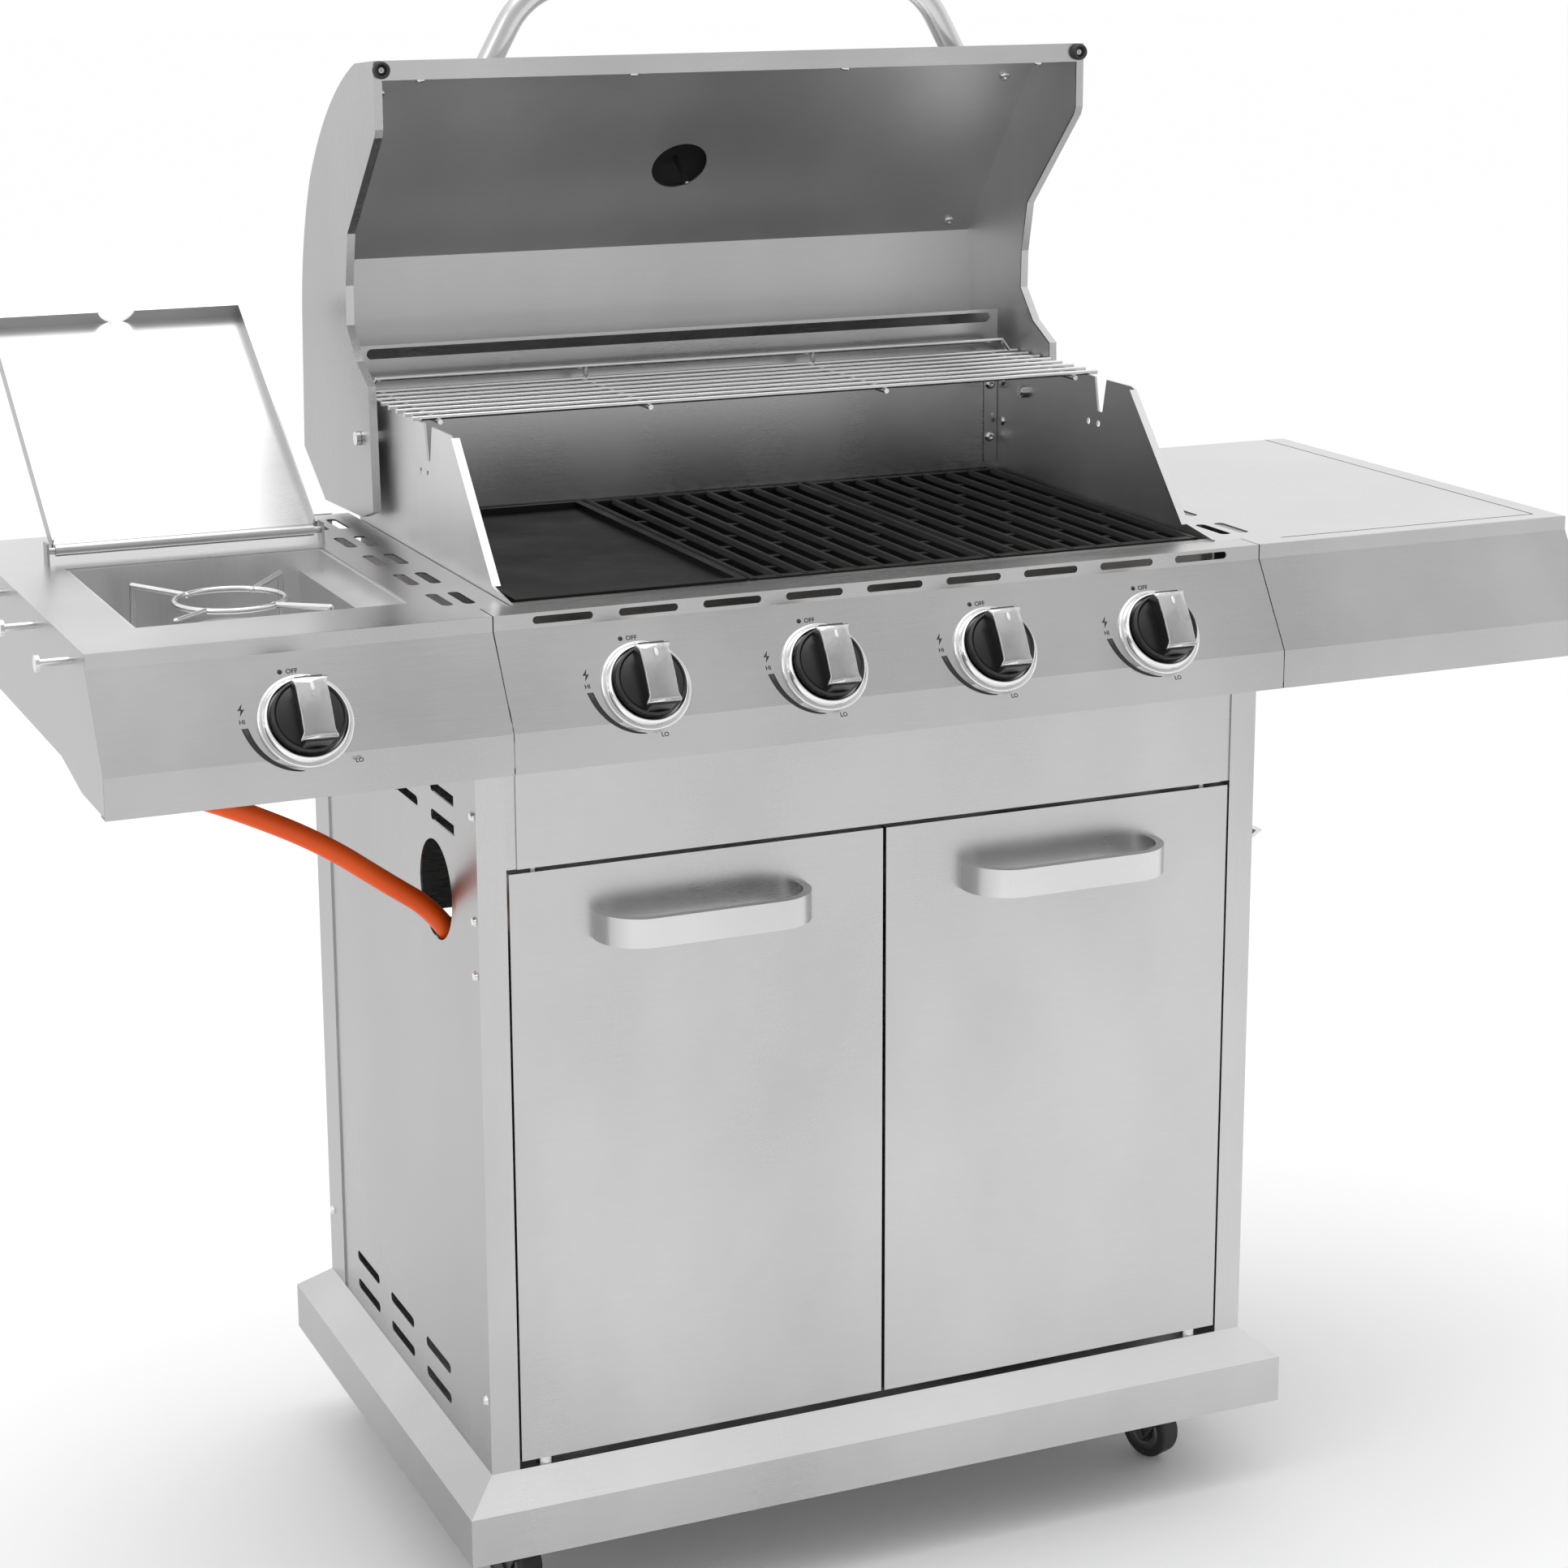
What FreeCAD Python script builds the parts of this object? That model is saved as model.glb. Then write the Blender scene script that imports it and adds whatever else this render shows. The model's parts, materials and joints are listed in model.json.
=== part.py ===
"""Four-burner gas grill cart with a side burner, millimetres, +Z up.

Everything is drawn with X across the cart (0 at its middle), Y from the front
face of the cabinet posts towards the back, and Z from the ground.  The last
step moves the whole grill so that the origin is the centre of its footprint.
The main lid and the side burner's lid are drawn closed and turned open.
"""
import FreeCAD, Part
import math
import os
from FreeCAD import Vector

# ---- Driving dimensions -------------------------------------------------
SHEET = 1.5                      # sheet steel of the cabinet and the shelves
PLATE = 2.0                      # thicker plate of the firebox and lid cheeks
CLEAR = 0.3                      # gap between pieces that move on each other
RUNNING = 0.05                   # radial clearance of a pin in its bore

CABINET_HALF = 350.0             # half the width over the posts
CABINET_DEPTH = 458.0            # front of the front posts to back of the rear ones
BASE_TOP = 139.0                 # cabinet floor
BASE_FLARE = 27.0                # how far the base stands out past the posts
BEVEL_BOTTOM = 116.5
SKIRT_BOTTOM = 75.0
POST_TOP = 851.5                 # underside of the shelves
CHEEK_FOOT = 729.0               # where the firebox cheeks stand on their feet
POST_FACE = 24.0                 # post width seen from the front
FRONT_POST_SIDE = 55.0
REAR_POST_SIDE = 42.0

DOOR_OUTER = 324.0
DOOR_GAP = 1.5                   # from the middle of the cabinet to each door
DOOR_BOTTOM = 145.5
DOOR_TOP = 642.0
DOOR_DEPTH = 16.0
DOOR_PIN_X = 302.0
DOOR_PIN_Y = 8.0
DOOR_PIN_R = 3.0
FASCIA_BOTTOM = 645.5
FASCIA_TOP = 748.0
FASCIA_HALF = 317.0
HANDLE_HALF = 92.0
HANDLE_REACH = 42.0
HANDLE_HEIGHT = 24.0
HANDLE_BAR = 7.0
HANDLE_Z = 593.0

SHELF_TOP = 853.0
SHELF_END = 649.0
SHELF_BACK = 445.0
SHELF_INNER = 314.0
PANEL_HALF = 337.5
PANEL_BACK = 12.5                # back edge of the control panel's top flange
# fascia section, from the back of its top flange down to its bottom return
FASCIA_TOP_Y = -17.5
FASCIA_LOW_Y = -61.5
FASCIA_BAND_Z = 841.0
FASCIA_KNEE_Z = 771.0
FASCIA_END_Z = 739.0

KNOB_Z = 794.0
KNOB_PITCH = 150.4
KNOB_XS = [KNOB_PITCH * (i - 1.5) for i in range(4)]
SIDE_KNOB_X = -494.8
KNOB_PUSH = 5.0
STEM_R = 4.0

CHEEK_X = 313.0                  # outer face of the firebox cheeks
FIREBOX_FRONT = 22.0
FIREBOX_BACK = 411.0
CHEEK_TOP = 965.0
CHEEK_SLOPE = [(56.0, 860.0), (150.0, 963.0)]    # front edge of the cheeks, under the closed lid
CHEEK_FLANGE = 7.0               # fold along that edge, towards the grates
REAR_WALL_TOP = 1004.5
TROUGH_LIP = 756.0
TROUGH_FLOOR = 736.0
TRAY_RAIL_Z = 706.0              # underside of the drip tray's rails
LEDGE_Z = 842.7
GRATE_Z = LEDGE_Z + CLEAR
GRATE_THICK = 12.0
GRATE_OUTER = 305.5              # outer edges of the griddle and the right grate
GRATE_FRONT = 25.0
GRATE_BACK = 407.0
BURNER_Z = 778.0
BURNER_R = 12.0
MANIFOLD_Y = -9.0
MANIFOLD_Z = 770.0

HINGE_Y = 355.0                  # main lid
HINGE_Z = 934.0
HINGE_R = 4.0
LID_HALF = 328.0
LID_CHEEK = 7.0                  # depth of the lid's double-walled cheeks
LID_FRONT = 34.5
LID_BOTTOM = 862.0
LID_RIM = 16.0                   # flange inside the lid's front edge
LID_OPEN = 90.0                  # degrees the lid is turned open
LID_HANDLE_R = 10.5
LID_HANDLE_Z = 899.0
LID_HANDLE_REACH = 60.0

TRAY_X = (-596.0, -380.0)        # side burner opening
TRAY_Y = (56.0, 300.0)
SIDE_HINGE_Y = 330.0
SIDE_HINGE_Z = SHELF_TOP + 10.0
SIDE_LID_OPEN = 145.0
BURNER_AT = (-488.0, 190.0)

HOSE_HOLE_Y = 111.0
HOSE_HOLE_Z = 603.0
HOSE_HOLE_R = 41.5
HOSE_R = 8.5

WHEEL_R = 25.0
WHEEL_WIDTH = 21.0
CASTER_X = 305.0
CASTER_YS = (45.0, 413.0)
CASTER_TRAIL = 18.0
CASTER_TURN = 20.0               # how far the casters stand swivelled, in degrees
AXLE_R = 4.0

X_AXIS = Vector(1, 0, 0)
Y_AXIS = Vector(0, 1, 0)
Z_AXIS = Vector(0, 0, 1)

# the sloping face that carries the knobs
slope_drop = FASCIA_BAND_Z - FASCIA_KNEE_Z
slope_run = FASCIA_TOP_Y - FASCIA_LOW_Y
slope_length = math.hypot(slope_drop, slope_run)
FACE_OUT = Vector(0, -slope_drop / slope_length, slope_run / slope_length)
FACE_ACROSS = Vector(0, FACE_OUT.z, -FACE_OUT.y)
KNOB_Y = FASCIA_TOP_Y - slope_run * (FASCIA_BAND_Z - KNOB_Z) / slope_drop


# ---- Helpers --------------------------------------------------------------
def block(x0, x1, y0, y1, z0, z1):
    return Part.makeBox(x1 - x0, y1 - y0, z1 - z0, Vector(x0, y0, z0))


def merge(shapes):
    return shapes[0].multiFuse(shapes[1:]).removeSplitter()


def cut_all(shape, tools):
    return shape.cut(Part.makeCompound(tools))


def rod(points, radius):
    """Round wire along straight runs, with a ball at each joint."""
    pieces = []
    for start, end in zip(points, points[1:]):
        run = end - start
        pieces.append(Part.makeCylinder(radius, run.Length, start, run))
    for joint in points[1:-1]:
        pieces.append(Part.makeSphere(radius, joint))
    return merge(pieces) if len(pieces) > 1 else pieces[0]


def outline_yz(points, x0, x1):
    """Prism along X of a closed outline given as (y, z) points."""
    corners = [Vector(x0, y, z) for y, z in points]
    face = Part.Face(Part.makePolygon(corners + corners[:1]))
    return face.extrude(Vector(x1 - x0, 0, 0))


def folded(points, x0, x1, thick):
    """Sheet along X folded through (y, z) points, thick to the left of the path."""
    normals = []
    for (ya, za), (yb, zb) in zip(points, points[1:]):
        length = math.hypot(yb - ya, zb - za)
        normals.append(((za - zb) / length, (yb - ya) / length))
    inner = []
    for i, (y, z) in enumerate(points):
        first = normals[max(i - 1, 0)]
        second = normals[min(i, len(normals) - 1)]
        sum_y = first[0] + second[0]
        sum_z = first[1] + second[1]
        scale = 2 * thick / (sum_y * sum_y + sum_z * sum_z)
        inner.append((y + sum_y * scale, z + sum_z * scale))
    return outline_yz(points + inner[::-1], x0, x1)


def slot_x(x, z, length, height, y0, y1):
    """Round-ended slot along X, cut along Y."""
    half = (length - height) / 2
    parts = [block(x - half, x + half, y0, y1, z - height / 2, z + height / 2)]
    for end in (x - half, x + half):
        parts.append(Part.makeCylinder(height / 2, y1 - y0, Vector(end, y0, z), Y_AXIS))
    return merge(parts)


def slot_y(y, z, length, height, x0, x1):
    """Round-ended slot along Y, cut along X."""
    half = (length - height) / 2
    parts = [block(x0, x1, y - half, y + half, z - height / 2, z + height / 2)]
    for end in (y - half, y + half):
        parts.append(Part.makeCylinder(height / 2, x1 - x0, Vector(x0, end, z), X_AXIS))
    return merge(parts)


def path_with_bends(points, bend_of):
    """Straight runs joined by tangent arcs; bend_of(i, shorter run, half turn) is a radius."""
    edges = []
    radii = []
    start = points[0]
    for i in range(1, len(points) - 1):
        back = points[i - 1] - points[i]
        ahead = points[i + 1] - points[i]
        half_turn = (math.pi - back.getAngle(ahead)) / 2
        radius = bend_of(i, min(back.Length, ahead.Length), half_turn)
        trim = radius * math.tan(half_turn)
        arc_start = points[i] + back.normalize() * trim
        arc_end = points[i] + ahead.normalize() * trim
        middle = (arc_start + arc_end) * 0.5 - points[i]
        reach = radius / math.cos(half_turn) - radius
        arc_middle = points[i] + middle.normalize() * reach
        edges.append(Part.LineSegment(start, arc_start).toShape())
        edges.append(Part.Arc(arc_start, arc_middle, arc_end).toShape())
        radii.append(radius)
        start = arc_end
    edges.append(Part.LineSegment(start, points[-1]).toShape())
    return Part.Wire(edges), radii


def tube_along(wire, points, radius):
    ring = Part.Wire(Part.makeCircle(radius, points[0], points[1] - points[0]))
    return wire.makePipeShell([ring], True, False)


def mirrored(shape):
    return shape.mirror(Vector(0, 0, 0), X_AXIS)


def on_face(x, out, across=0.0):
    """Point above the knob face: out along its normal, across up its slope."""
    return Vector(x, KNOB_Y, KNOB_Z) + FACE_OUT * out + FACE_ACROSS * across


# ---- Cabinet --------------------------------------------------------------
def hipped_block(inset, lower):
    """Solid of the base: flat top, bevel and skirt on all four sides."""
    half = CABINET_HALF + BASE_FLARE - inset
    front = -BASE_FLARE + inset
    back = CABINET_DEPTH + BASE_FLARE - inset
    bevel = BEVEL_BOTTOM - inset
    top = BASE_TOP - inset
    across = [(-half, lower), (half, lower), (half, bevel), (half - BASE_FLARE, top),
              (BASE_FLARE - half, top), (-half, bevel)]
    along = [(front, lower), (back, lower), (back, bevel), (back - BASE_FLARE, top),
             (front + BASE_FLARE, top), (front, bevel)]
    corners = [Vector(x, front, z) for x, z in across]
    first = Part.Face(Part.makePolygon(corners + corners[:1])).extrude(Vector(0, back - front, 0))
    return first.common(outline_yz(along, -half, half))


def base_pan():
    pan = hipped_block(0, SKIRT_BOTTOM).cut(hipped_block(SHEET, SKIRT_BOTTOM - 1))
    gusset = 75.0
    outer = CABINET_HALF + BASE_FLARE - SHEET / 2
    front = -BASE_FLARE + SHEET / 2
    back = CABINET_DEPTH + BASE_FLARE - SHEET / 2
    pieces = [pan]
    holes = []
    for side in (-1, 1):
        xs = sorted((side * outer, side * (CASTER_X - gusset / 2)))
        pieces.append(block(xs[0], xs[1], front, CASTER_YS[0] + gusset / 2,
                            SKIRT_BOTTOM, SKIRT_BOTTOM + PLATE))
        pieces.append(block(xs[0], xs[1], CASTER_YS[1] - gusset / 2, back,
                            SKIRT_BOTTOM, SKIRT_BOTTOM + PLATE))
        for y in CASTER_YS:
            holes.append(Part.makeCylinder(5.5 + RUNNING, 10, Vector(side * CASTER_X, y, SKIRT_BOTTOM - 4)))
    return cut_all(merge(pieces), holes)


def cabinet_posts():
    pieces = []
    for side in (-1, 1):
        outer = side * CABINET_HALF
        faces = sorted((outer, outer - side * POST_FACE))
        sides = sorted((outer, outer - side * SHEET))
        front = [block(faces[0], faces[1], 0, SHEET, BASE_TOP, POST_TOP),
                 block(sides[0], sides[1], 0, FRONT_POST_SIDE, BASE_TOP, POST_TOP)]
        rear = [block(faces[0], faces[1], CABINET_DEPTH - SHEET, CABINET_DEPTH, BASE_TOP, POST_TOP),
                block(sides[0], sides[1], CABINET_DEPTH - REAR_POST_SIDE, CABINET_DEPTH, BASE_TOP, POST_TOP)]
        pieces += [merge(front), merge(rear)]
    return Part.makeCompound(pieces)


def side_panel(slots_low=(158.0, 185.0), slots_high=(665.0, 689.0)):
    """Left panel without its hose hole."""
    outer = -CABINET_HALF + SHEET
    panel = block(outer, outer + SHEET, FRONT_POST_SIDE - 12, CABINET_DEPTH - REAR_POST_SIDE + 12,
                  BASE_TOP, POST_TOP)
    cuts = []
    for column in range(3):
        for z in slots_low:
            cuts.append(slot_y(140 + 101 * column, z, 66, 9, outer - 1, outer + SHEET + 1))
        for z in slots_high:
            cuts.append(slot_y(86 + 101 * column, z, 66, 9, outer - 1, outer + SHEET + 1))
    return cut_all(panel, cuts)


def side_panel_left():
    hole = Part.makeCylinder(HOSE_HOLE_R, 10, Vector(-CABINET_HALF - 2, HOSE_HOLE_Y, HOSE_HOLE_Z), X_AXIS)
    return side_panel().cut(hole)


def rear_panel():
    half = CABINET_HALF - POST_FACE + 12
    y0 = CABINET_DEPTH - 2 * SHEET
    top = TROUGH_FLOOR - 32
    panel = block(-half, half, y0, y0 + SHEET, BASE_TOP, top)
    cuts = []
    for row in range(4):
        for column in range(5):
            cuts.append(slot_x(-220 + 110 * column, 210 + 130 * row, 70, 9, y0 - 1, y0 + SHEET + 1))
    return cut_all(panel, cuts)


def upper_fascia():
    face = block(-FASCIA_HALF, FASCIA_HALF, 0, SHEET, FASCIA_BOTTOM, FASCIA_TOP)
    lip = block(-FASCIA_HALF, FASCIA_HALF, 0, 22, FASCIA_BOTTOM, FASCIA_BOTTOM + SHEET)
    tabs = [block(-CABINET_HALF + POST_FACE - 18, -FASCIA_HALF + 2, SHEET, 2 * SHEET,
                  FASCIA_BOTTOM, FASCIA_TOP)]
    tabs.append(mirrored(tabs[0]))
    tabs.append(block(-FASCIA_HALF, FASCIA_HALF, SHEET, 2 * SHEET, FASCIA_TOP - 20, FASCIA_TOP))
    holes = [Part.makeCylinder(DOOR_PIN_R, 10, Vector(s * DOOR_PIN_X, DOOR_PIN_Y, FASCIA_BOTTOM - 4))
             for s in (-1, 1)]
    return cut_all(merge([face, lip] + tabs), holes)


def door_left():
    """Folded door pan, open at the back, with pin holes in its top and bottom folds."""
    outer = block(-DOOR_OUTER, -DOOR_GAP, 0, DOOR_DEPTH, DOOR_BOTTOM, DOOR_TOP)
    inner = block(-DOOR_OUTER + SHEET, -DOOR_GAP - SHEET, SHEET, DOOR_DEPTH + 1,
                  DOOR_BOTTOM + SHEET, DOOR_TOP - SHEET)
    bore = Part.makeCylinder(DOOR_PIN_R + RUNNING, DOOR_TOP - DOOR_BOTTOM + 10,
                             Vector(-DOOR_PIN_X, DOOR_PIN_Y, DOOR_BOTTOM - 5))
    return outer.cut(inner).cut(bore)


def door_pins():
    pins = []
    for side in (-1, 1):
        foot = Vector(side * DOOR_PIN_X, DOOR_PIN_Y, BASE_TOP)
        head = Vector(side * DOOR_PIN_X, DOOR_PIN_Y, DOOR_TOP - 8)
        washer = Part.makeCylinder(7, DOOR_BOTTOM - CLEAR - BASE_TOP, foot)
        pins.append(merge([Part.makeCylinder(DOOR_PIN_R, DOOR_BOTTOM + 10 - BASE_TOP, foot), washer]))
        pins.append(Part.makeCylinder(DOOR_PIN_R, FASCIA_BOTTOM + SHEET - head.z, head))
    return Part.makeCompound(pins)


def door_handle_left():
    """Flat bar bowed out of the door, as a band swept up its height."""
    middle = -(DOOR_OUTER + DOOR_GAP) / 2
    corner = 38.0

    def band_edge(inset):
        half = HANDLE_HALF - inset
        reach = HANDLE_REACH - inset
        bend = corner - inset
        knee = bend * (1 - math.sqrt(0.5))
        z = HANDLE_Z - HANDLE_HEIGHT / 2
        at = [Vector(middle + x, y, z) for x, y in
              ((-half, 0), (-half, -reach + bend), (-half + knee, -reach + knee), (-half + bend, -reach),
               (half - bend, -reach), (half - knee, -reach + knee), (half, -reach + bend), (half, 0))]
        return at

    outer = band_edge(0)
    inner = band_edge(HANDLE_BAR)
    edges = []
    for path in (outer, inner):
        for start in (0, 3, 6):
            edges.append(Part.LineSegment(path[start], path[start + 1]).toShape())
        for start in (1, 4):
            edges.append(Part.Arc(*path[start:start + 3]).toShape())
    edges += [Part.LineSegment(outer[0], inner[0]).toShape(), Part.LineSegment(outer[7], inner[7]).toShape()]
    face = Part.Face(Part.Wire(Part.__sortEdges__(edges)))
    return face.extrude(Z_AXIS * HANDLE_HEIGHT)


# ---- Casters ----------------------------------------------------------------
def caster_fork(x, y):
    """Swivelling fork with its stem and axle; the wheel trails behind the stem."""
    axle = Vector(x, y + CASTER_TRAIL, WHEEL_R)
    cheek_gap = WHEEL_WIDTH / 2 + 1.5
    crown_z = 66.0
    pieces = [block(x - cheek_gap - PLATE, x + cheek_gap + PLATE, y - 18, y + 22, crown_z, crown_z + PLATE),
              Part.makeCylinder(14, SKIRT_BOTTOM - CLEAR - crown_z, Vector(x, y, crown_z)),
              Part.makeCylinder(5.5, 22, Vector(x, y, crown_z)),
              Part.makeCylinder(AXLE_R, 2 * (cheek_gap + PLATE + 2),
                                Vector(x - cheek_gap - PLATE - 2, axle.y, axle.z), X_AXIS)]
    for inner in (-cheek_gap - PLATE, cheek_gap):
        pieces.append(outline_yz([(y - 18, crown_z + PLATE), (y + 22, crown_z + PLATE), (axle.y + 9, axle.z),
                                  (axle.y, axle.z - 9), (axle.y - 9, axle.z)], x + inner, x + inner + PLATE))
    return merge(pieces)


def caster_wheel(x, y):
    centre = Vector(x - WHEEL_WIDTH / 2, y + CASTER_TRAIL, WHEEL_R)
    disc = Part.makeCylinder(WHEEL_R, WHEEL_WIDTH, centre, X_AXIS)
    tread = disc.makeFillet(3, [e for e in disc.Edges if e.Closed and isinstance(e.Curve, Part.Circle)])
    hub = Part.makeCylinder(9, WHEEL_WIDTH + 2, centre - X_AXIS, X_AXIS)
    bore = Part.makeCylinder(AXLE_R + RUNNING, WHEEL_WIDTH + 8, centre - X_AXIS * 4, X_AXIS)
    return merge([tread, hub]).cut(bore)


# ---- Firebox ------------------------------------------------------------------
def firebox_cheek():
    """Left cheek: plate with a sloped front, a rack notch and an inward flange."""
    outer = -CHEEK_X
    notch = (200.0, 222.0, 935.0)
    front = FIREBOX_FRONT - 9
    profile = [(front, CHEEK_FOOT), (front, 854)] + CHEEK_SLOPE
    profile += [(CHEEK_SLOPE[1][0] + 6, CHEEK_TOP), (FIREBOX_BACK + 2, CHEEK_TOP),
                (FIREBOX_BACK + 2, CHEEK_FOOT)]
    plate = outline_yz(profile, outer, outer + PLATE)
    foot = block(-CABINET_HALF + 2 * SHEET, outer + PLATE, front, FIREBOX_BACK + 2,
                 CHEEK_FOOT, CHEEK_FOOT + PLATE)
    flange = folded(CHEEK_SLOPE, outer, outer + CHEEK_FLANGE, -SHEET)
    cuts = [outline_yz([(notch[0], CHEEK_TOP + 1), (notch[0] + 7, notch[2]), (notch[1] - 7, notch[2]),
                        (notch[1], CHEEK_TOP + 1)], outer - 1, outer + PLATE + 1),
            Part.makeCylinder(HINGE_R, 6, Vector(outer - 2, HINGE_Y, HINGE_Z), X_AXIS)]
    for y in (214.0, 232.0):
        cuts.append(Part.makeCylinder(3, 6, Vector(outer - 2, y, notch[2] - 11), X_AXIS))
    return cut_all(merge([plate, foot, flange]), cuts)


def firebox_cheeks():
    left = firebox_cheek()
    return Part.makeCompound([left, mirrored(left)])


def firebox_rear_wall():
    """Wall that stands above the cheeks, with one long vent slot near its top."""
    half = CHEEK_X - PLATE
    wall = block(-half, half, FIREBOX_BACK, FIREBOX_BACK + SHEET, TROUGH_LIP + 36, REAR_WALL_TOP)
    vent = slot_x(0, REAR_WALL_TOP - 7.5, 2 * half - 16, 9, FIREBOX_BACK - 5, FIREBOX_BACK + 5)
    ledge = block(-half, half, FIREBOX_BACK - 10, FIREBOX_BACK, LEDGE_Z - SHEET, LEDGE_Z)
    return merge([wall.cut(vent), ledge])


def firebox_trough():
    """Front wall, sloping floor with its grease slot, and the drip tray's two rails."""
    half = CHEEK_X - PLATE
    front = FIREBOX_FRONT
    sheet = folded([(FIREBOX_BACK - 1.5, TROUGH_LIP + 40), (FIREBOX_BACK - 1.5, TROUGH_LIP),
                    (262, TROUGH_FLOOR), (170, TROUGH_FLOOR), (front, TROUGH_LIP),
                    (front, SHELF_TOP - SHEET), (front - 9, SHELF_TOP - SHEET)], -half, half, -SHEET)
    ledge = block(-half, half, front + SHEET, front + 10, LEDGE_Z - SHEET, LEDGE_Z)
    grease = block(-180, 180, 180, 252, TROUGH_FLOOR - 5, TROUGH_FLOOR + 5)
    mouths = [Part.makeCylinder(BURNER_R, 10, Vector(x, front - 5, BURNER_Z), Y_AXIS) for x in KNOB_XS]
    rails = []
    for side in (-1, 1):
        web = sorted((side * 236.0, side * 237.5))
        lip = sorted((side * 218.0, side * 237.5))
        rails.append(block(web[0], web[1], 168, 264, TRAY_RAIL_Z, TROUGH_FLOOR))
        rails.append(block(lip[0], lip[1], 60, FIREBOX_BACK - 12, TRAY_RAIL_Z, TRAY_RAIL_Z + SHEET))
        rails.append(block(web[0], web[1], 60, FIREBOX_BACK - 12, TRAY_RAIL_Z, TRAY_RAIL_Z + 12))
    return cut_all(merge([sheet, ledge] + rails), [grease] + mouths)


def drip_tray():
    """Shallow grease pan that slides out to the back."""
    half = 234.0
    z0 = TRAY_RAIL_Z + SHEET + CLEAR
    pan = block(-half, half, 62, 405, z0, z0 + 20)
    hollow = block(-half + SHEET, half - SHEET, 62 + SHEET, 405 - SHEET, z0 + SHEET, z0 + 30)
    grip = block(-60, 60, 405, 425, z0 + 18.5, z0 + 20)
    grip_end = block(-60, 60, 423.5, 425, z0 + 8, z0 + 20)
    return merge([pan.cut(hollow), grip, grip_end])


def burner_tubes():
    tubes = []
    for x in KNOB_XS:
        start = Vector(x, 3, BURNER_Z)
        tube = Part.makeCylinder(BURNER_R, 402, start, Y_AXIS)
        hollow = Part.makeCylinder(BURNER_R - 1, 399, start - Y_AXIS, Y_AXIS)
        tubes.append(tube.cut(hollow))
    return Part.makeCompound(tubes)


def heat_tents():
    """Inverted V sheets over the burners, with vent holes down both slopes."""
    tents = []
    y0 = FIREBOX_FRONT + SHEET
    for x in KNOB_XS:
        apex = 834.0
        edge = 810.0
        half = 32.0
        section = [(-half, edge), (0, apex), (half, edge), (half - 2, edge), (0, apex - 2), (2 - half, edge)]
        corners = [Vector(x + dx, y0, z) for dx, z in section]
        sheet = Part.Face(Part.makePolygon(corners + corners[:1])).extrude(Vector(0, FIREBOX_BACK - y0, 0))
        holes = [Part.makeCylinder(4, 60, Vector(x + side * 15, 60 + 42 * i, 790))
                 for i in range(8) for side in (-1, 1)]
        tents.append(cut_all(sheet, holes))
    return Part.makeCompound(tents)


def grate(x0, x1, columns):
    """Cast grate: bars run front to back, joined by staggered ribs."""
    body = block(x0, x1, GRATE_FRONT, GRATE_BACK, GRATE_Z, GRATE_Z + GRATE_THICK)
    rim = 9.0
    bar = 9.0
    rib = 7.0
    gap = (x1 - x0 - 2 * rim - bar * (columns - 1)) / columns
    cuts = []
    low = GRATE_FRONT + rim
    high = GRATE_BACK - rim
    length = (high - low - 3 * rib) / 4
    for column in range(columns):
        left = x0 + rim + column * (gap + bar)
        start = low if column % 2 == 0 else low - length / 2
        while start < high - rib:
            y0 = max(start, low)
            y1 = min(start + length, high)
            if y1 - y0 > bar:
                cuts.append(block(left, left + gap, y0, y1, GRATE_Z - 1, GRATE_Z + GRATE_THICK + 1))
            start += length + rib
    return cut_all(body, cuts)


def griddle(x0, x1):
    """Flat cast plate with a low rim and a grease notch at the front."""
    body = block(x0, x1, GRATE_FRONT, GRATE_BACK, GRATE_Z, GRATE_Z + GRATE_THICK)
    dish = block(x0 + 7, x1 - 7, GRATE_FRONT + 7, GRATE_BACK - 7, GRATE_Z + 7, GRATE_Z + GRATE_THICK + 1)
    drain = slot_x((x0 + x1) / 2, 0, 26, 8, 0, 20)
    drain.rotate(Vector((x0 + x1) / 2, 0, 0), X_AXIS, 90)
    drain.translate(Vector(0, GRATE_FRONT + 16, GRATE_Z - 4))
    return body.cut(dish).cut(drain)


def warming_rack():
    wire = 2.2
    z = CHEEK_TOP + CLEAR + wire
    first = 233.0
    pitch = 22.0
    count = 8
    last = first + pitch * (count - 1)
    pieces = []
    for i in range(count):
        y = first + pitch * i
        pieces.append(rod([Vector(-319, y, z), Vector(319, y, z)], wire))
    for x in (-296.0, -110.0, 110.0, 296.0):
        pieces.append(rod([Vector(x, first - 3, z - 3.8), Vector(x, last + 3, z - 3.8)], wire))
    rail_z = z + 11
    pieces.append(rod([Vector(-311, last, z), Vector(-303, last, rail_z), Vector(303, last, rail_z),
                       Vector(311, last, z)], wire))
    for x in (-110.0, 110.0):
        pieces.append(rod([Vector(x, last, z), Vector(x, last, rail_z)], wire))
    return merge(pieces)


# ---- Gas train, panel and knobs -----------------------------------------------
def fascia_path(back):
    return [(back, SHELF_TOP), (FASCIA_TOP_Y, SHELF_TOP), (FASCIA_TOP_Y, FASCIA_BAND_Z),
            (FASCIA_LOW_Y, FASCIA_KNEE_Z), (FASCIA_LOW_Y, FASCIA_END_Z), (FASCIA_LOW_Y + 14, FASCIA_END_Z)]


def stem_hole(x):
    return Part.makeCylinder(STEM_R + 2, 20, on_face(x, -10), FACE_OUT)


def control_panel():
    sheet = folded(fascia_path(PANEL_BACK), -PANEL_HALF, PANEL_HALF, SHEET)
    cuts = [stem_hole(x) for x in KNOB_XS]
    for i in range(9):
        cuts.append(slot_x(70.4 * (i - 4), SHELF_TOP - 6, 49, 6, FASCIA_TOP_Y - 3, FASCIA_TOP_Y + 3))
    return cut_all(sheet, cuts)


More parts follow.
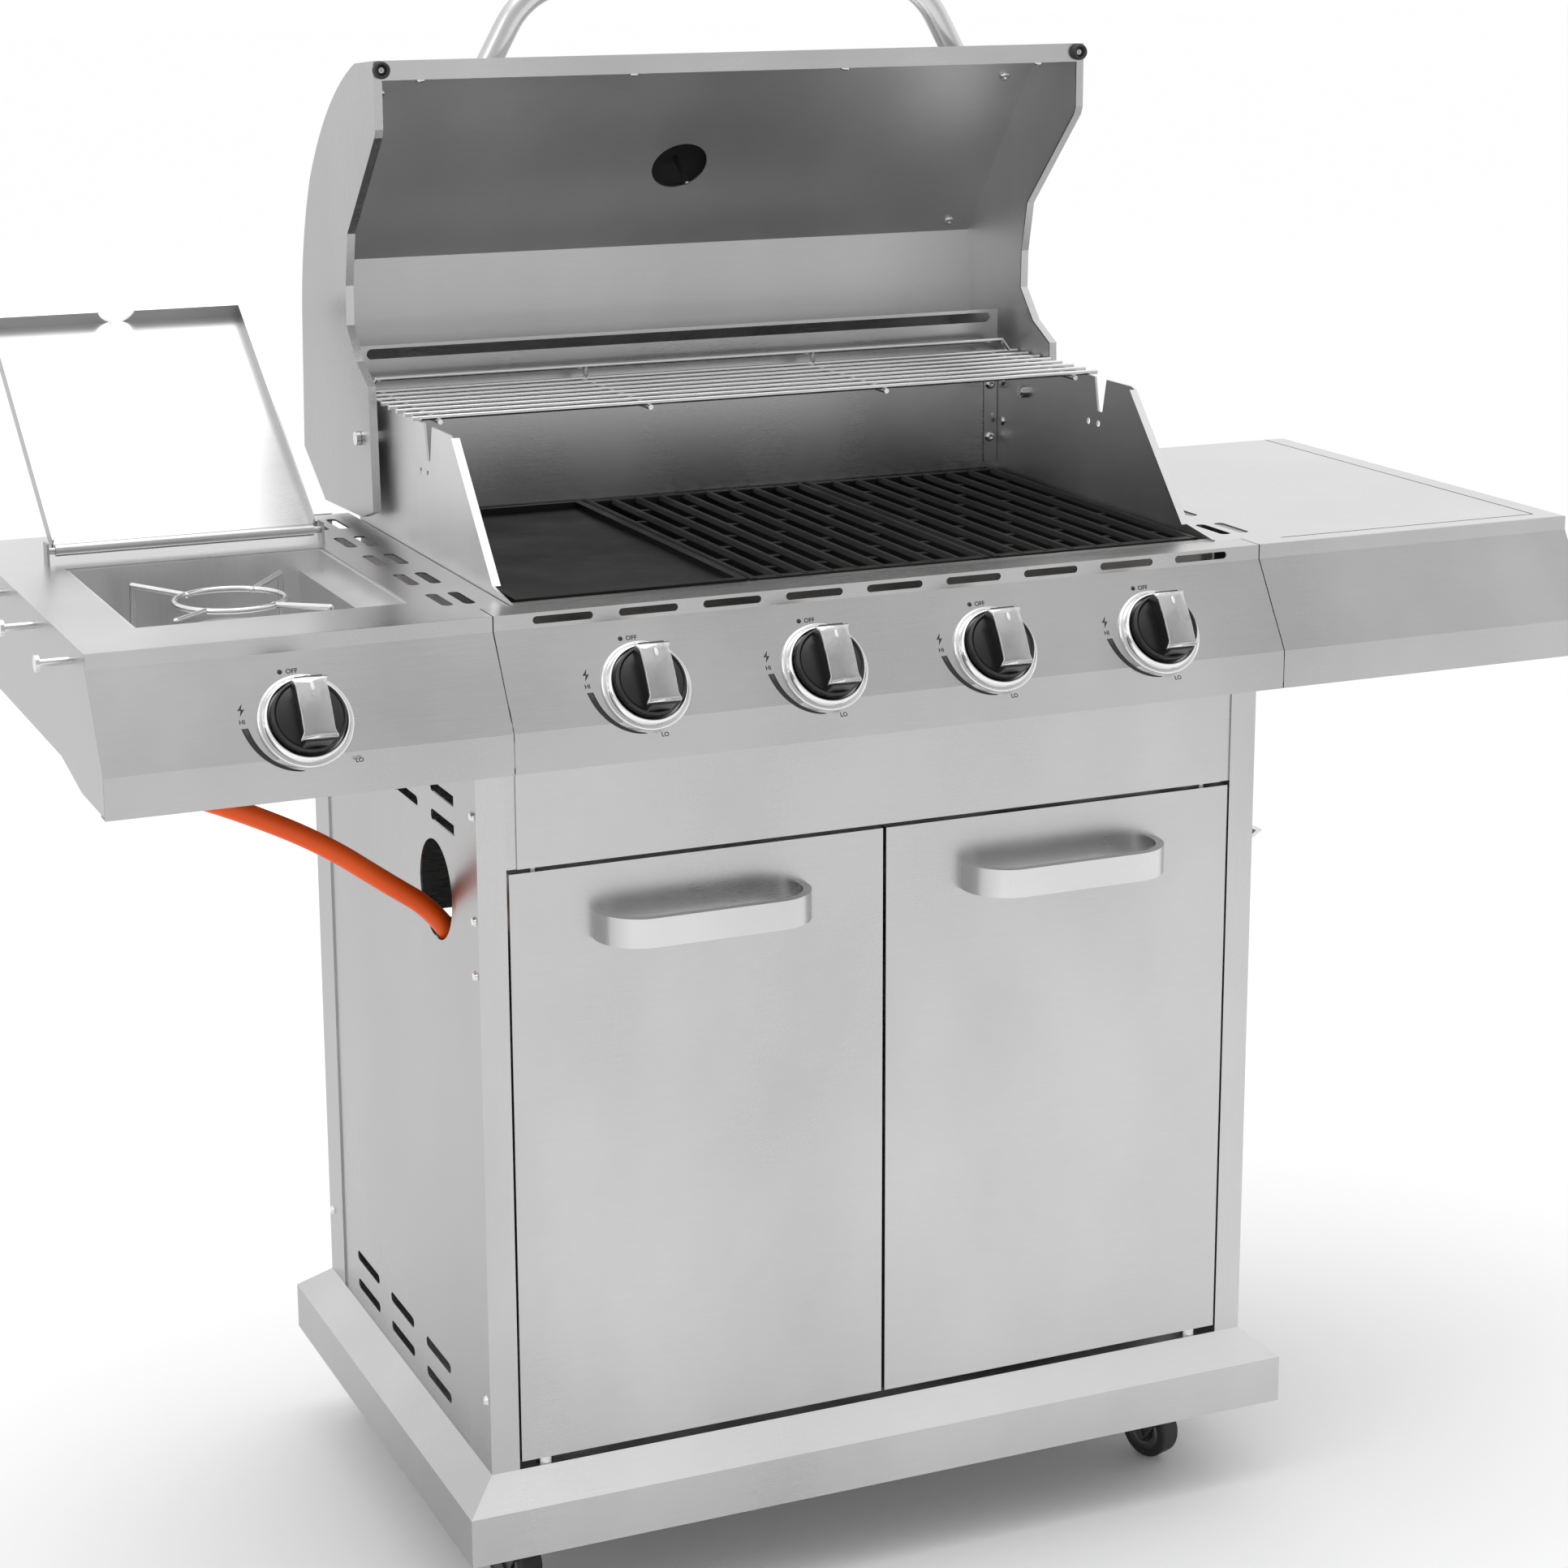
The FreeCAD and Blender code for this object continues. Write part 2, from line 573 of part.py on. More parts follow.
def shelf_fascias():
    path = fascia_path(0)[1:]
    left = folded(path, -SHELF_END, -PANEL_HALF - 1, SHEET)
    return Part.makeCompound([left.cut(stem_hole(SIDE_KNOB_X)), mirrored(left)])


def knob_bezels():
    """Flared rings on the panel round each knob."""
    rings = []
    for x in [SIDE_KNOB_X] + KNOB_XS:
        flare = Part.makeCone(36.5, 33.5, 11, on_face(x, 0), FACE_OUT)
        inside = Part.makeCylinder(31.2, 20, on_face(x, 2), FACE_OUT)
        eye = Part.makeCylinder(STEM_R + 2, 20, on_face(x, -5), FACE_OUT)
        rings.append(flare.cut(inside).cut(eye))
    return Part.makeCompound(rings)


def gas_manifold():
    """Supply pipe with the five valves and four burner jets on it."""
    end = min(KNOB_XS + [SIDE_KNOB_X]) - 40
    pieces = [Part.makeCylinder(8, KNOB_XS[-1] + 25 - end, Vector(end, MANIFOLD_Y, MANIFOLD_Z), X_AXIS)]
    bores = []
    for x in [SIDE_KNOB_X] + KNOB_XS:
        pieces.append(Part.makeCylinder(11, 36, on_face(x, -46), FACE_OUT))
        bores.append(Part.makeCylinder(STEM_R + RUNNING, 22, on_face(x, -31), FACE_OUT))
        pieces.append(Part.makeCylinder(4.5, 20, Vector(x, MANIFOLD_Y, BURNER_Z - 3), Y_AXIS))
    return cut_all(merge(pieces), bores)


def knob_stem(x):
    """Valve stem: it is pushed in before the knob turns on it."""
    shaft = Part.makeCylinder(STEM_R, 34, on_face(x, -25), FACE_OUT)
    flat = Part.makeCylinder(STEM_R - 1, 14, on_face(x, 9), FACE_OUT)
    return merge([shaft, flat])


def knob(x):
    """Round dome with a raised grip bar, bored for its stem."""
    foot = KNOB_PUSH + 3
    skirt = Part.makeCylinder(29.5, 8, on_face(x, foot), FACE_OUT)
    dome = Part.makeCone(29.5, 21, 9, on_face(x, foot + 8), FACE_OUT)
    grip = block(-12, 12, -29, 29, 0, 31)
    long_edges = [e for e in grip.Edges if e.BoundBox.ZLength > 20]
    grip = grip.makeFillet(5, long_edges)
    tilt = math.degrees(math.atan2(slope_drop, slope_run))
    grip.rotate(Vector(0, 0, 0), X_AXIS, tilt)
    grip.translate(on_face(x, foot))
    bore = Part.makeCylinder(STEM_R + RUNNING, 12, on_face(x, 0), FACE_OUT)
    narrow = Part.makeCylinder(STEM_R - 1 + RUNNING, 25.3, on_face(x, 0), FACE_OUT)
    return cut_all(merge([skirt, dome, grip]), [bore, narrow])


# ---- Shelves and side burner ----------------------------------------------------
def shelf_shell():
    """Left shelf: top, outer end plate and back flange folded from one sheet."""
    front = FASCIA_TOP_Y + SHEET + 0.3
    top = block(-SHELF_END, -SHELF_INNER, front, SHELF_BACK, SHELF_TOP - SHEET, SHELF_TOP)
    end_outline = [(front, SHELF_TOP), (front, FASCIA_BAND_Z), (FASCIA_LOW_Y + SHEET + 0.3, FASCIA_KNEE_Z),
                   (FASCIA_LOW_Y + SHEET + 0.3, FASCIA_END_Z + 2), (16, FASCIA_END_Z + 2),
                   (85, FASCIA_END_Z + 14), (SHELF_BACK, FASCIA_END_Z + 14), (SHELF_BACK, SHELF_TOP)]
    end = outline_yz(end_outline, -SHELF_END, -SHELF_END + SHEET)
    back = block(-SHELF_END, -CABINET_HALF - 1, SHELF_BACK - SHEET, SHELF_BACK, FASCIA_END_Z + 14, SHELF_TOP)
    cuts = [block(-PANEL_HALF - 1, -SHELF_INNER + 1, front - 1, PANEL_BACK, SHELF_TOP - 5, SHELF_TOP + 5)]
    for row in range(5):
        for x in (-356.0, -338.0):
            slot = slot_y(58 + 85 * row, 0, 48, 9.5, -4, 4)
            slot.rotate(Vector(0, 0, 0), Y_AXIS, 90)
            slot.translate(Vector(x, 0, SHELF_TOP))
            cuts.append(slot)
    return cut_all(merge([top, end, back]), cuts)


def left_shelf():
    hole = block(TRAY_X[0], TRAY_X[1], TRAY_Y[0], TRAY_Y[1], SHELF_TOP - 5, SHELF_TOP + 5)
    ears = []
    bores = []
    for x in (TRAY_X[0] - 9, TRAY_X[1] + 7):
        ears.append(block(x, x + PLATE, SIDE_HINGE_Y - 7, SIDE_HINGE_Y + 7, SHELF_TOP, SIDE_HINGE_Z + 7))
        bores.append(Part.makeCylinder(3 + RUNNING, 6, Vector(x - 2, SIDE_HINGE_Y, SIDE_HINGE_Z), X_AXIS))
    return cut_all(merge([shelf_shell().cut(hole)] + ears), bores)


def side_burner_tray():
    """Pressed well under the opening, with a stepped ledge on its right."""
    depth = 62.0
    top = SHELF_TOP - SHEET
    x0, x1 = TRAY_X[0] + 1.5, TRAY_X[1] - 1.5
    y0, y1 = TRAY_Y[0] + 1.5, TRAY_Y[1] - 1.5
    step_x = x1 - 18
    step_z = top - 16
    floor = top - depth
    outer = [block(x0, x1, y0, y1, step_z - SHEET, top), block(x0, step_x, y0, y1, floor, top)]
    inner = [block(x0 + SHEET, x1 - SHEET, y0 + SHEET, y1 - SHEET, step_z, top + 1),
             block(x0 + SHEET, step_x - SHEET, y0 + SHEET, y1 - SHEET, floor + SHEET, top + 1)]
    rim = block(x0 - 10, x1 + 10, y0 - 10, y1 + 10, top - SHEET, top)
    eye = Part.makeCylinder(13, 10, Vector(BURNER_AT[0], BURNER_AT[1], floor - 4))
    return cut_all(merge(outer + [rim]), inner + [eye])


def side_burner():
    """Burner head standing in the well, fed by its mixing tube below."""
    x, y = BURNER_AT
    floor = SHELF_TOP - SHEET - 62
    neck = Part.makeCylinder(12.5, 30, Vector(x, y, floor - 12))
    head = Part.makeCone(20, 33, 10, Vector(x, y, floor + 12))
    cap = Part.makeCone(33, 30, 7, Vector(x, y, floor + 22))
    button = Part.makeCylinder(14, 3, Vector(x, y, floor + 29))
    mixer = rod([Vector(SIDE_KNOB_X, 13, MANIFOLD_Z + 5), Vector(x, y, floor - 12)], 7)
    return merge([neck, head, cap, button, mixer])


def pan_support():
    """Wire ring over the burner on four bent legs."""
    x, y = BURNER_AT
    z = SHELF_TOP - 14
    foot = SHELF_TOP - SHEET - 62 + SHEET + CLEAR + 2.5
    ring = Part.makeTorus(44, 2.5, Vector(x, y, z))
    legs = []
    for side_x in (-1, 1):
        for side_y in (-1, 1):
            at = [Vector(x + side_x * reach * 0.64, y + side_y * reach * 0.77, level)
                  for reach, level in ((42, z), (96, z + 3), (98, foot))]
            legs.append(rod(at, 2.5))
            legs.append(Part.makeSphere(2.5, at[0]))
            legs.append(Part.makeSphere(2.5, at[2]))
    return merge([ring] + legs)


def side_lid():
    """Shallow pressed lid, drawn closed, turned open about its rear pins."""
    x0, x1 = TRAY_X[0] - 3, TRAY_X[1] + 3
    y0, y1 = TRAY_Y[0] - 4, SIDE_HINGE_Y - 4
    low = SHELF_TOP + 1.5
    high = SIDE_HINGE_Z + 5
    pan = block(x0, x1, y0, y1, low, high)
    hollow = block(x0 + SHEET, x1 - SHEET, y0 + SHEET, y1 + 1, low - 1, high - SHEET)
    notch = Part.makeCylinder(17, 10, Vector((x0 + x1) / 2, y0 - 4, low - 4), Y_AXIS)
    knuckle = Part.makeCylinder(5, x1 - x0 - 4, Vector(x0 + 2, SIDE_HINGE_Y, SIDE_HINGE_Z), X_AXIS)
    web = block(x0 + 2, x1 - 2, y1 - 2, SIDE_HINGE_Y, high - SHEET, high)
    pin = Part.makeCylinder(3, x1 - x0 + 12, Vector(x0 - 6, SIDE_HINGE_Y, SIDE_HINGE_Z), X_AXIS)
    lid = merge([pan.cut(hollow).cut(notch), knuckle, web, pin])
    lid.rotate(Vector(0, SIDE_HINGE_Y, SIDE_HINGE_Z), X_AXIS, -SIDE_LID_OPEN)
    return lid


def tool_pegs():
    pegs = []
    for y in (30.0, 162.0, 294.0):
        at = Vector(-SHELF_END, y, SHELF_TOP - 14)
        shaft = Part.makeCylinder(3, 24, at, -X_AXIS)
        head = Part.makeCylinder(6.5, 3, at - X_AXIS * 24, -X_AXIS)
        pegs.append(merge([shaft, head]))
    return Part.makeCompound(pegs)


def bottle_opener():
    """Triangular strap on the right side, with a window in its sloping faces."""
    wall = CABINET_HALF
    y0, y1 = 66.0, 104.0
    out = 52.0
    loop = [(0, 600), (out, 576), (0, 545)]
    inner = [(2.5, 596.5), (out - 6.5, 576), (2.5, 549.5)]
    corners = [Vector(wall + x, y0, z) for x, z in loop]
    holes = [Vector(wall + x, y0 - 1, z) for x, z in inner]
    body = Part.Face(Part.makePolygon(corners + corners[:1])).extrude(Vector(0, y1 - y0, 0))
    hollow = Part.Face(Part.makePolygon(holes + holes[:1])).extrude(Vector(0, y1 - y0 + 2, 0))
    window = block(wall + 14, wall + out - 14, y0 + 9, y1 - 9, 540, 610)
    return body.cut(hollow).cut(window)


# ---- Main lid -------------------------------------------------------------------
LID_CORNERS = [(LID_FRONT, LID_BOTTOM), (39, 915), (145, 1062), (265, 1102), (388, 1110), (427, 1047)]
LID_BULGES = {1: (85, 1003), 2: (203, 1089)}     # middle of the arc that leaves each corner
LID_LOWER = [(423.5, 935), (414, 901), (307, 905), (290, 938), (262, 963), (228, 962), (183, 952),
             (97, 865), (90, LID_BOTTOM)]        # cheek's edge over the firebox, from back to front
LINER_CREASE = (218.0, 1075.0)
LINER_KNEE = (54.0, 945.0)


def lid_edges(inset, x):
    """Edges of the lid's outer curve, moved towards the inside of the lid."""
    middle = (235.0, 930.0)

    def inward(point):
        dy = middle[0] - point[0]
        dz = middle[1] - point[1]
        length = math.hypot(dy, dz)
        return Vector(x, point[0] + dy / length * inset, point[1] + dz / length * inset)

    corners = [inward(p) for p in LID_CORNERS]
    edges = []
    for i, (start, end) in enumerate(zip(corners, corners[1:])):
        if i in LID_BULGES:
            edges.append(Part.Arc(start, inward(LID_BULGES[i]), end).toShape())
        else:
            edges.append(Part.LineSegment(start, end).toShape())
    return edges, corners


def lid_turned(shape):
    shape.rotate(Vector(0, HINGE_Y, HINGE_Z), X_AXIS, -LID_OPEN)
    return shape


def lid_skin():
    half = LID_HALF - LID_CHEEK
    outer, ends = lid_edges(0, -half)
    inner, inner_ends = lid_edges(SHEET * 1.15, -half)
    caps = [Part.LineSegment(ends[0], inner_ends[0]).toShape(),
            Part.LineSegment(ends[-1], inner_ends[-1]).toShape()]
    face = Part.Face(Part.Wire(Part.__sortEdges__(outer + inner + caps)))
    skin = face.extrude(Vector(2 * half, 0, 0))
    rim = block(-half, half, LID_FRONT, LID_FRONT + LID_RIM, LID_BOTTOM, LID_BOTTOM + SHEET)
    gauge_hole = Part.makeCylinder(6, 30, gauge_point(20), gauge_axis())
    return lid_turned(merge([skin, rim]).cut(gauge_hole))


def lid_cheek_outline(x):
    """Closed outline of the lid's left cheek, cut away over the firebox cheek."""
    edges, corners = lid_edges(0, x)
    path = [corners[-1]] + [Vector(x, y, z) for y, z in LID_LOWER] + [corners[0]]
    for start, end in zip(path, path[1:]):
        edges.append(Part.LineSegment(start, end).toShape())
    return Part.Wire(Part.__sortEdges__(edges))


def hinge_bore():
    return Part.makeCylinder(HINGE_R + RUNNING, 20, Vector(-LID_HALF - 5, HINGE_Y, HINGE_Z), X_AXIS)


def lid_cheek():
    """Left cheek: outer plate with a flange all round, open towards the inside."""
    plate = Part.Face(lid_cheek_outline(-LID_HALF)).extrude(Vector(LID_CHEEK, 0, 0))
    recess = lid_cheek_outline(-LID_HALF + SHEET).makeOffset2D(-SHEET, 2)
    recess = Part.Face(recess).extrude(Vector(LID_CHEEK, 0, 0))
    return plate.cut(recess).cut(hinge_bore())


def lid_cheeks():
    left = lid_cheek()
    return lid_turned(Part.makeCompound([left, mirrored(left)]))


def lid_cheek_lining():
    """Inner plate that closes the left cheek, flush with its flange."""
    inner = -LID_HALF + LID_CHEEK
    outline = lid_cheek_outline(inner - SHEET).makeOffset2D(-SHEET - CLEAR, 2)
    return Part.Face(outline).extrude(Vector(SHEET, 0, 0)).cut(hinge_bore())


def lid_liner():
    """Inner wall of the lid between its cheeks, and the two cheek linings."""
    half = LID_HALF - LID_CHEEK
    liner = folded([(297, 1068), LINER_CREASE, LINER_KNEE,
                    (LID_FRONT + LID_RIM - SHEET, LID_BOTTOM + SHEET + CLEAR)], -half, half, SHEET)
    gauge_hole = Part.makeCylinder(26, 30, gauge_point(-13), gauge_axis())
    lining = lid_cheek_lining()
    return lid_turned(Part.makeCompound([liner.cut(gauge_hole), lining, mirrored(lining)]))


def gauge_axis():
    """Square to the liner's sloping part, outwards."""
    run = LINER_CREASE[0] - LINER_KNEE[0]
    rise = LINER_CREASE[1] - LINER_KNEE[1]
    return Vector(0, -rise, run).normalize()


def gauge_point(out):
    """Point on the thermometer's axis, measured out from the liner."""
    along = 0.53
    y = LINER_KNEE[0] + along * (LINER_CREASE[0] - LINER_KNEE[0])
    z = LINER_KNEE[1] + along * (LINER_CREASE[1] - LINER_KNEE[1])
    return Vector(0, y, z) + gauge_axis() * out


def thermometer():
    surface = 35.5
    dial = Part.makeCylinder(30, 10, gauge_point(surface), gauge_axis())
    neck = Part.makeCylinder(5.7, 14, gauge_point(surface - 13), gauge_axis())
    stem = Part.makeCylinder(2.5, 55, gauge_point(-24), gauge_axis())
    nut = Part.makeCylinder(9, 6, gauge_point(surface - 13), gauge_axis())
    return lid_turned(merge([dial, neck, stem, nut]))


def lid_handle():
    """Round tube bowed out of the lid's front, its ends cut to the skin."""
    bar_y = LID_FRONT - LID_HANDLE_REACH
    start_y = LID_FRONT + 10
    points = [Vector(x, y, LID_HANDLE_Z) for x, y in
              ((-219, start_y), (-180, bar_y), (180, bar_y), (219, start_y))]
    wire, _ = path_with_bends(points, lambda i, run, half_turn: 70.0)
    (low_y, low_z), (high_y, high_z) = LID_CORNERS[:2]
    behind = outline_yz([(low_y, low_z), (high_y, high_z), (high_y + 50, high_z), (high_y + 50, low_z)],
                        -260, 260)
    return lid_turned(tube_along(wire, points, LID_HANDLE_R).cut(behind))


# ---- Fasteners --------------------------------------------------------------------
def fasteners():
    """Two lid hinge bolts with their spacers, and the post and wall screws."""
    pieces = []
    outer = LID_HALF + CLEAR
    for side in (-1, 1):
        out = X_AXIS * side
        base = Vector(0, HINGE_Y, HINGE_Z)
        bolt = [Part.makeCylinder(HINGE_R, outer - CHEEK_X + 10, base + out * (CHEEK_X - 8), out),
                Part.makeCylinder(6, 4, base + out * outer, out),
                Part.makeCylinder(6.5, LID_HALF - LID_CHEEK - CLEAR - CHEEK_X, base + out * CHEEK_X, out),
                Part.makeCylinder(6, 5, base + out * (CHEEK_X - PLATE - 5), out)]
        pieces.append(merge(bolt))
        for y, z in ((9, 560), (9, 605), (9, 690), (9, 200), (448, 200), (448, 690)):
            pieces.append(Part.makeCone(4.5, 3, 2, Vector(side * CABINET_HALF, y, z), out))
        for z in (900.0, 938.0):
            pieces.append(Part.makeCone(4.5, 3, 2, Vector(side * (CHEEK_X - PLATE), 399, z), -out))
    return Part.makeCompound(pieces)


# ---- Hose -------------------------------------------------------------------------
HOSE_ROUTE = [(-612, 10, 762), (-600, 52, 744), (-566, 90, 716), (-505, 112, 686), (-441, 114, 652),
              (-388, 112, 612), (-350, 112, 585), (-316, 114, 530), (-310, 122, 462), (-312, 136, 390),
              (-318, 154, 318), (-312, 176, 246), (-288, 204, 188), (-244, 236, 154), (-186, 262, 147.6),
              (-124, 276, 147.6)]


def gas_inlet():
    """Pipe and elbow from the manifold's end to the hose."""
    end = min(KNOB_XS + [SIDE_KNOB_X]) - 40
    start = Vector(*HOSE_ROUTE[0])
    heading = (Vector(*HOSE_ROUTE[1]) - start).normalize()
    corner = Vector(-618, MANIFOLD_Y, MANIFOLD_Z)
    pipe = rod([Vector(end, MANIFOLD_Y, MANIFOLD_Z), corner, start - heading * 2], 5)
    nut = Part.makeCylinder(10, 14, start - heading * 14, heading)
    return merge([pipe, nut])


def gas_hose():
    points = [Vector(*p) for p in HOSE_ROUTE]

    def bend(i, shorter, half_turn):
        return 0.45 * shorter / math.tan(half_turn)

    wire, radii = path_with_bends(points, bend)
    tube = tube_along(wire, points, HOSE_R)
    ratio = tube.Volume / (math.pi * HOSE_R ** 2 * wire.Length)
    print("hose radii", [round(r) for r in radii])
    print("hose length", round(wire.Length), "volume ratio", round(ratio, 4))
    return tube


def regulator():
    """Bottle regulator lying on the cabinet floor at the hose's end."""
    end = Vector(*HOSE_ROUTE[-1])
    heading = (end - Vector(*HOSE_ROUTE[-2])).normalize()
    centre = end + heading * 46
    nipple = Part.makeCylinder(6.5, 26, end, heading)
    body = Part.makeCone(27, 24, 20, Vector(centre.x, centre.y, BASE_TOP))
    cap = Part.makeCone(24, 15, 7, Vector(centre.x, centre.y, BASE_TOP + 20))
    nut = Part.makeCylinder(8.6, 24, centre + heading * 22, heading)
    return merge([nipple, body, cap, nut])


# ---- The assembly -----------------------------------------------------------------
def build_nodes():
    left_door = door_left()
    left_handle = door_handle_left()
    nodes = {
        "base_pan": base_pan(),
        "cabinet_posts": cabinet_posts(),
        "side_panel_left": side_panel_left(),
        "side_panel_right": mirrored(side_panel()),
        "rear_panel": rear_panel(),
        "upper_fascia": upper_fascia(),
        "firebox_cheeks": firebox_cheeks(),
        "firebox_rear_wall": firebox_rear_wall(),
        "firebox_trough": firebox_trough(),
        "drip_tray": drip_tray(),
        "burner_tubes": burner_tubes(),
        "heat_tents": heat_tents(),
        "gas_manifold": gas_manifold(),
        "control_panel": control_panel(),
        "shelf_fascias": shelf_fascias(),
        "knob_bezels": knob_bezels(),
        "left_shelf": left_shelf(),
        "right_shelf": mirrored(shelf_shell()),
        "side_burner_tray": side_burner_tray(),
        "side_burner": side_burner(),
        "pan_support": pan_support(),
        "side_lid": side_lid(),
        "tool_pegs": tool_pegs(),
        "bottle_opener": bottle_opener(),
        "lid_skin": lid_skin(),
        "lid_cheeks": lid_cheeks(),
        "lid_liner": lid_liner(),
        "lid_handle": lid_handle(),
        "lid_thermometer": thermometer(),
        "fasteners": fasteners(),
        "warming_rack": warming_rack(),
        "griddle": griddle(-GRATE_OUTER, -110),
        "grate_middle": grate(-108, 108, 9),
        "grate_right": grate(110, GRATE_OUTER, 8),
        "gas_hose": gas_hose(),
        "gas_inlet": gas_inlet(),
        "gas_regulator": regulator(),
        "door_left": left_door,
        "door_right": mirrored(left_door),
        "door_handle_left": left_handle,
        "door_handle_right": mirrored(left_handle),
        "door_pins": door_pins(),
    }
    for name, x in zip(("side", "one", "two", "three", "four"), [SIDE_KNOB_X] + KNOB_XS):
        nodes["knob_stem_" + name] = knob_stem(x)
        nodes["knob_" + name] = knob(x)
    for side_name, side in (("left", -1), ("right", 1)):
        for end_name, y in zip(("front", "rear"), CASTER_YS):
            corner = end_name + "_" + side_name
            stem = Vector(side * CASTER_X, y, 0)
            for kind, shape in (("fork_", caster_fork(stem.x, y)), ("wheel_", caster_wheel(stem.x, y))):
                shape.rotate(stem, Z_AXIS, CASTER_TURN)
                nodes["caster_" + kind + corner] = shape
    return nodes


CORD_NODES = ("gas_hose", "gas_regulator")

nodes = build_nodes()
bounds = FreeCAD.BoundBox()
for name, shape in nodes.items():
    if name not in CORD_NODES:
        bounds.add(shape.BoundBox)
SHIFT = Vector(-bounds.Center.x, -bounds.Center.y, -bounds.ZMin)

os.makedirs("parts", exist_ok=True)
for name, shape in nodes.items():
    shape.translate(SHIFT)
    shape.exportStep("parts/" + name + ".step")
print("pieces", len(nodes), "size", bounds.XLength, bounds.YLength, bounds.ZLength)
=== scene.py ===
"""Looks of the gas grill cart: finishes, detailed pieces, camera and studio.

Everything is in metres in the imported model's frame.  Places come from the CAD
nodes and joints, or are given in the cart's own measures: X from its middle,
Y from the front of its posts, Z from the floor, and moved by CART.
"""
import bmesh
import bpy
import json
import math
from mathutils import Matrix, Vector


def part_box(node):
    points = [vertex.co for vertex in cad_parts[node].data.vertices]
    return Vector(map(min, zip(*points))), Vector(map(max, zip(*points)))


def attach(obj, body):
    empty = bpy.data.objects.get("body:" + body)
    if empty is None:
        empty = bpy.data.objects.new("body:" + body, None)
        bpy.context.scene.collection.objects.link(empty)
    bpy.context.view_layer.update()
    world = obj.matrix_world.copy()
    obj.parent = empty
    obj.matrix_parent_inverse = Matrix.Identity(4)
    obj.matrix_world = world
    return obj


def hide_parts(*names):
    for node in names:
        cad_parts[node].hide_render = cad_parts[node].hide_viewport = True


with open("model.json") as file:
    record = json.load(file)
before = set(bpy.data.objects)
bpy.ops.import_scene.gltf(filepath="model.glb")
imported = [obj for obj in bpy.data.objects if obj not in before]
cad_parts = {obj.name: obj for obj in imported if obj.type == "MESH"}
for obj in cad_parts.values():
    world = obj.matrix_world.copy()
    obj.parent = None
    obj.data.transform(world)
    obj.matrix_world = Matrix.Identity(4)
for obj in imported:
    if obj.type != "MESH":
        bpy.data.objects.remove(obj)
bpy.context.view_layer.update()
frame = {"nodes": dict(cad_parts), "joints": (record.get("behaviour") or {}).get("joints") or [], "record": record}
nodes = frame["nodes"]
joints = {joint["name"]: joint for joint in frame["joints"]}
body_of_node = {n: b for b, group in frame["record"]["behaviour"]["bodies"].items() for n in group}

MM = 0.001
POST_CORNER = Vector((-0.350, 0.0, 0.139))       # low corner of the posts in the cart's measures
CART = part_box("cabinet_posts")[0] - POST_CORNER


def at(x, y, z):
    """Point given in the cart's measures, in millimetres."""
    return CART + Vector((x, y, z)) * MM


# ---- Camera -------------------------------------------------------------------
CAMERA_AT = (-1136.0, -2388.0, 1396.0)
CAMERA_TURN = math.radians(-23.67)
CAMERA_DOWN = math.radians(13.03)
CAMERA_ROLL = math.radians(-0.21)

camera_data = bpy.data.cameras.new("camera")
camera_data.lens = 77.16
camera_data.sensor_width = 36.0
camera_data.shift_y = -0.08
camera_data.clip_end = 100.0
camera = bpy.data.objects.new("camera", camera_data)
bpy.context.scene.collection.objects.link(camera)
camera.location = at(*CAMERA_AT)
turned = Matrix.Rotation(CAMERA_TURN, 4, "Z") @ Matrix.Rotation(math.pi / 2 - CAMERA_DOWN, 4, "X")
camera.rotation_mode = "QUATERNION"
camera.rotation_quaternion = (turned @ Matrix.Rotation(CAMERA_ROLL, 4, "Z")).to_quaternion()
bpy.context.scene.camera = camera


# ---- Materials ------------------------------------------------------------------
def new_material(name):
    material = bpy.data.materials.new(name)
    material.use_nodes = True
    tree = material.node_tree
    return material, tree, tree.nodes["Principled BSDF"]


def noise(tree, scale, detail=2.0, stretch=(1.0, 1.0, 1.0)):
    """Noise over the object's own coordinates, in metres, stretched per axis."""
    coords = tree.nodes.new("ShaderNodeTexCoord")
    mapping = tree.nodes.new("ShaderNodeMapping")
    mapping.inputs["Scale"].default_value = stretch
    tree.links.new(coords.outputs["Object"], mapping.inputs["Vector"])
    texture = tree.nodes.new("ShaderNodeTexNoise")
    texture.inputs["Scale"].default_value = scale
    texture.inputs["Detail"].default_value = detail
    tree.links.new(mapping.outputs["Vector"], texture.inputs["Vector"])
    return texture.outputs["Fac"]


def between(tree, value, low, high, from_low=0.3, from_high=0.7):
    """Value remapped from a noise's usual spread to low..high."""
    node = tree.nodes.new("ShaderNodeMapRange")
    node.inputs["From Min"].default_value = from_low
    node.inputs["From Max"].default_value = from_high
    node.inputs["To Min"].default_value = low
    node.inputs["To Max"].default_value = high
    tree.links.new(value, node.inputs["Value"])
    return node.outputs["Result"]


def combined(tree, operation, first, second):
    node = tree.nodes.new("ShaderNodeMath")
    node.operation = operation
    for socket, value in zip(node.inputs, (first, second)):
        if isinstance(value, (int, float)):
            socket.default_value = value
        else:
            tree.links.new(value, socket)
    return node.outputs["Value"]


def weighted(tree, first, first_share, second, second_share):
    return combined(tree, "ADD", combined(tree, "MULTIPLY", first, first_share),
                    combined(tree, "MULTIPLY", second, second_share))


def tinted(tree, value, dark, light):
    """Colour between dark and light by value 0..1."""
    ramp = tree.nodes.new("ShaderNodeMix")
    ramp.data_type = "RGBA"
    ramp.inputs["A"].default_value = (*dark, 1.0)
    ramp.inputs["B"].default_value = (*light, 1.0)
    tree.links.new(value, ramp.inputs["Factor"])
    return ramp.outputs["Result"]


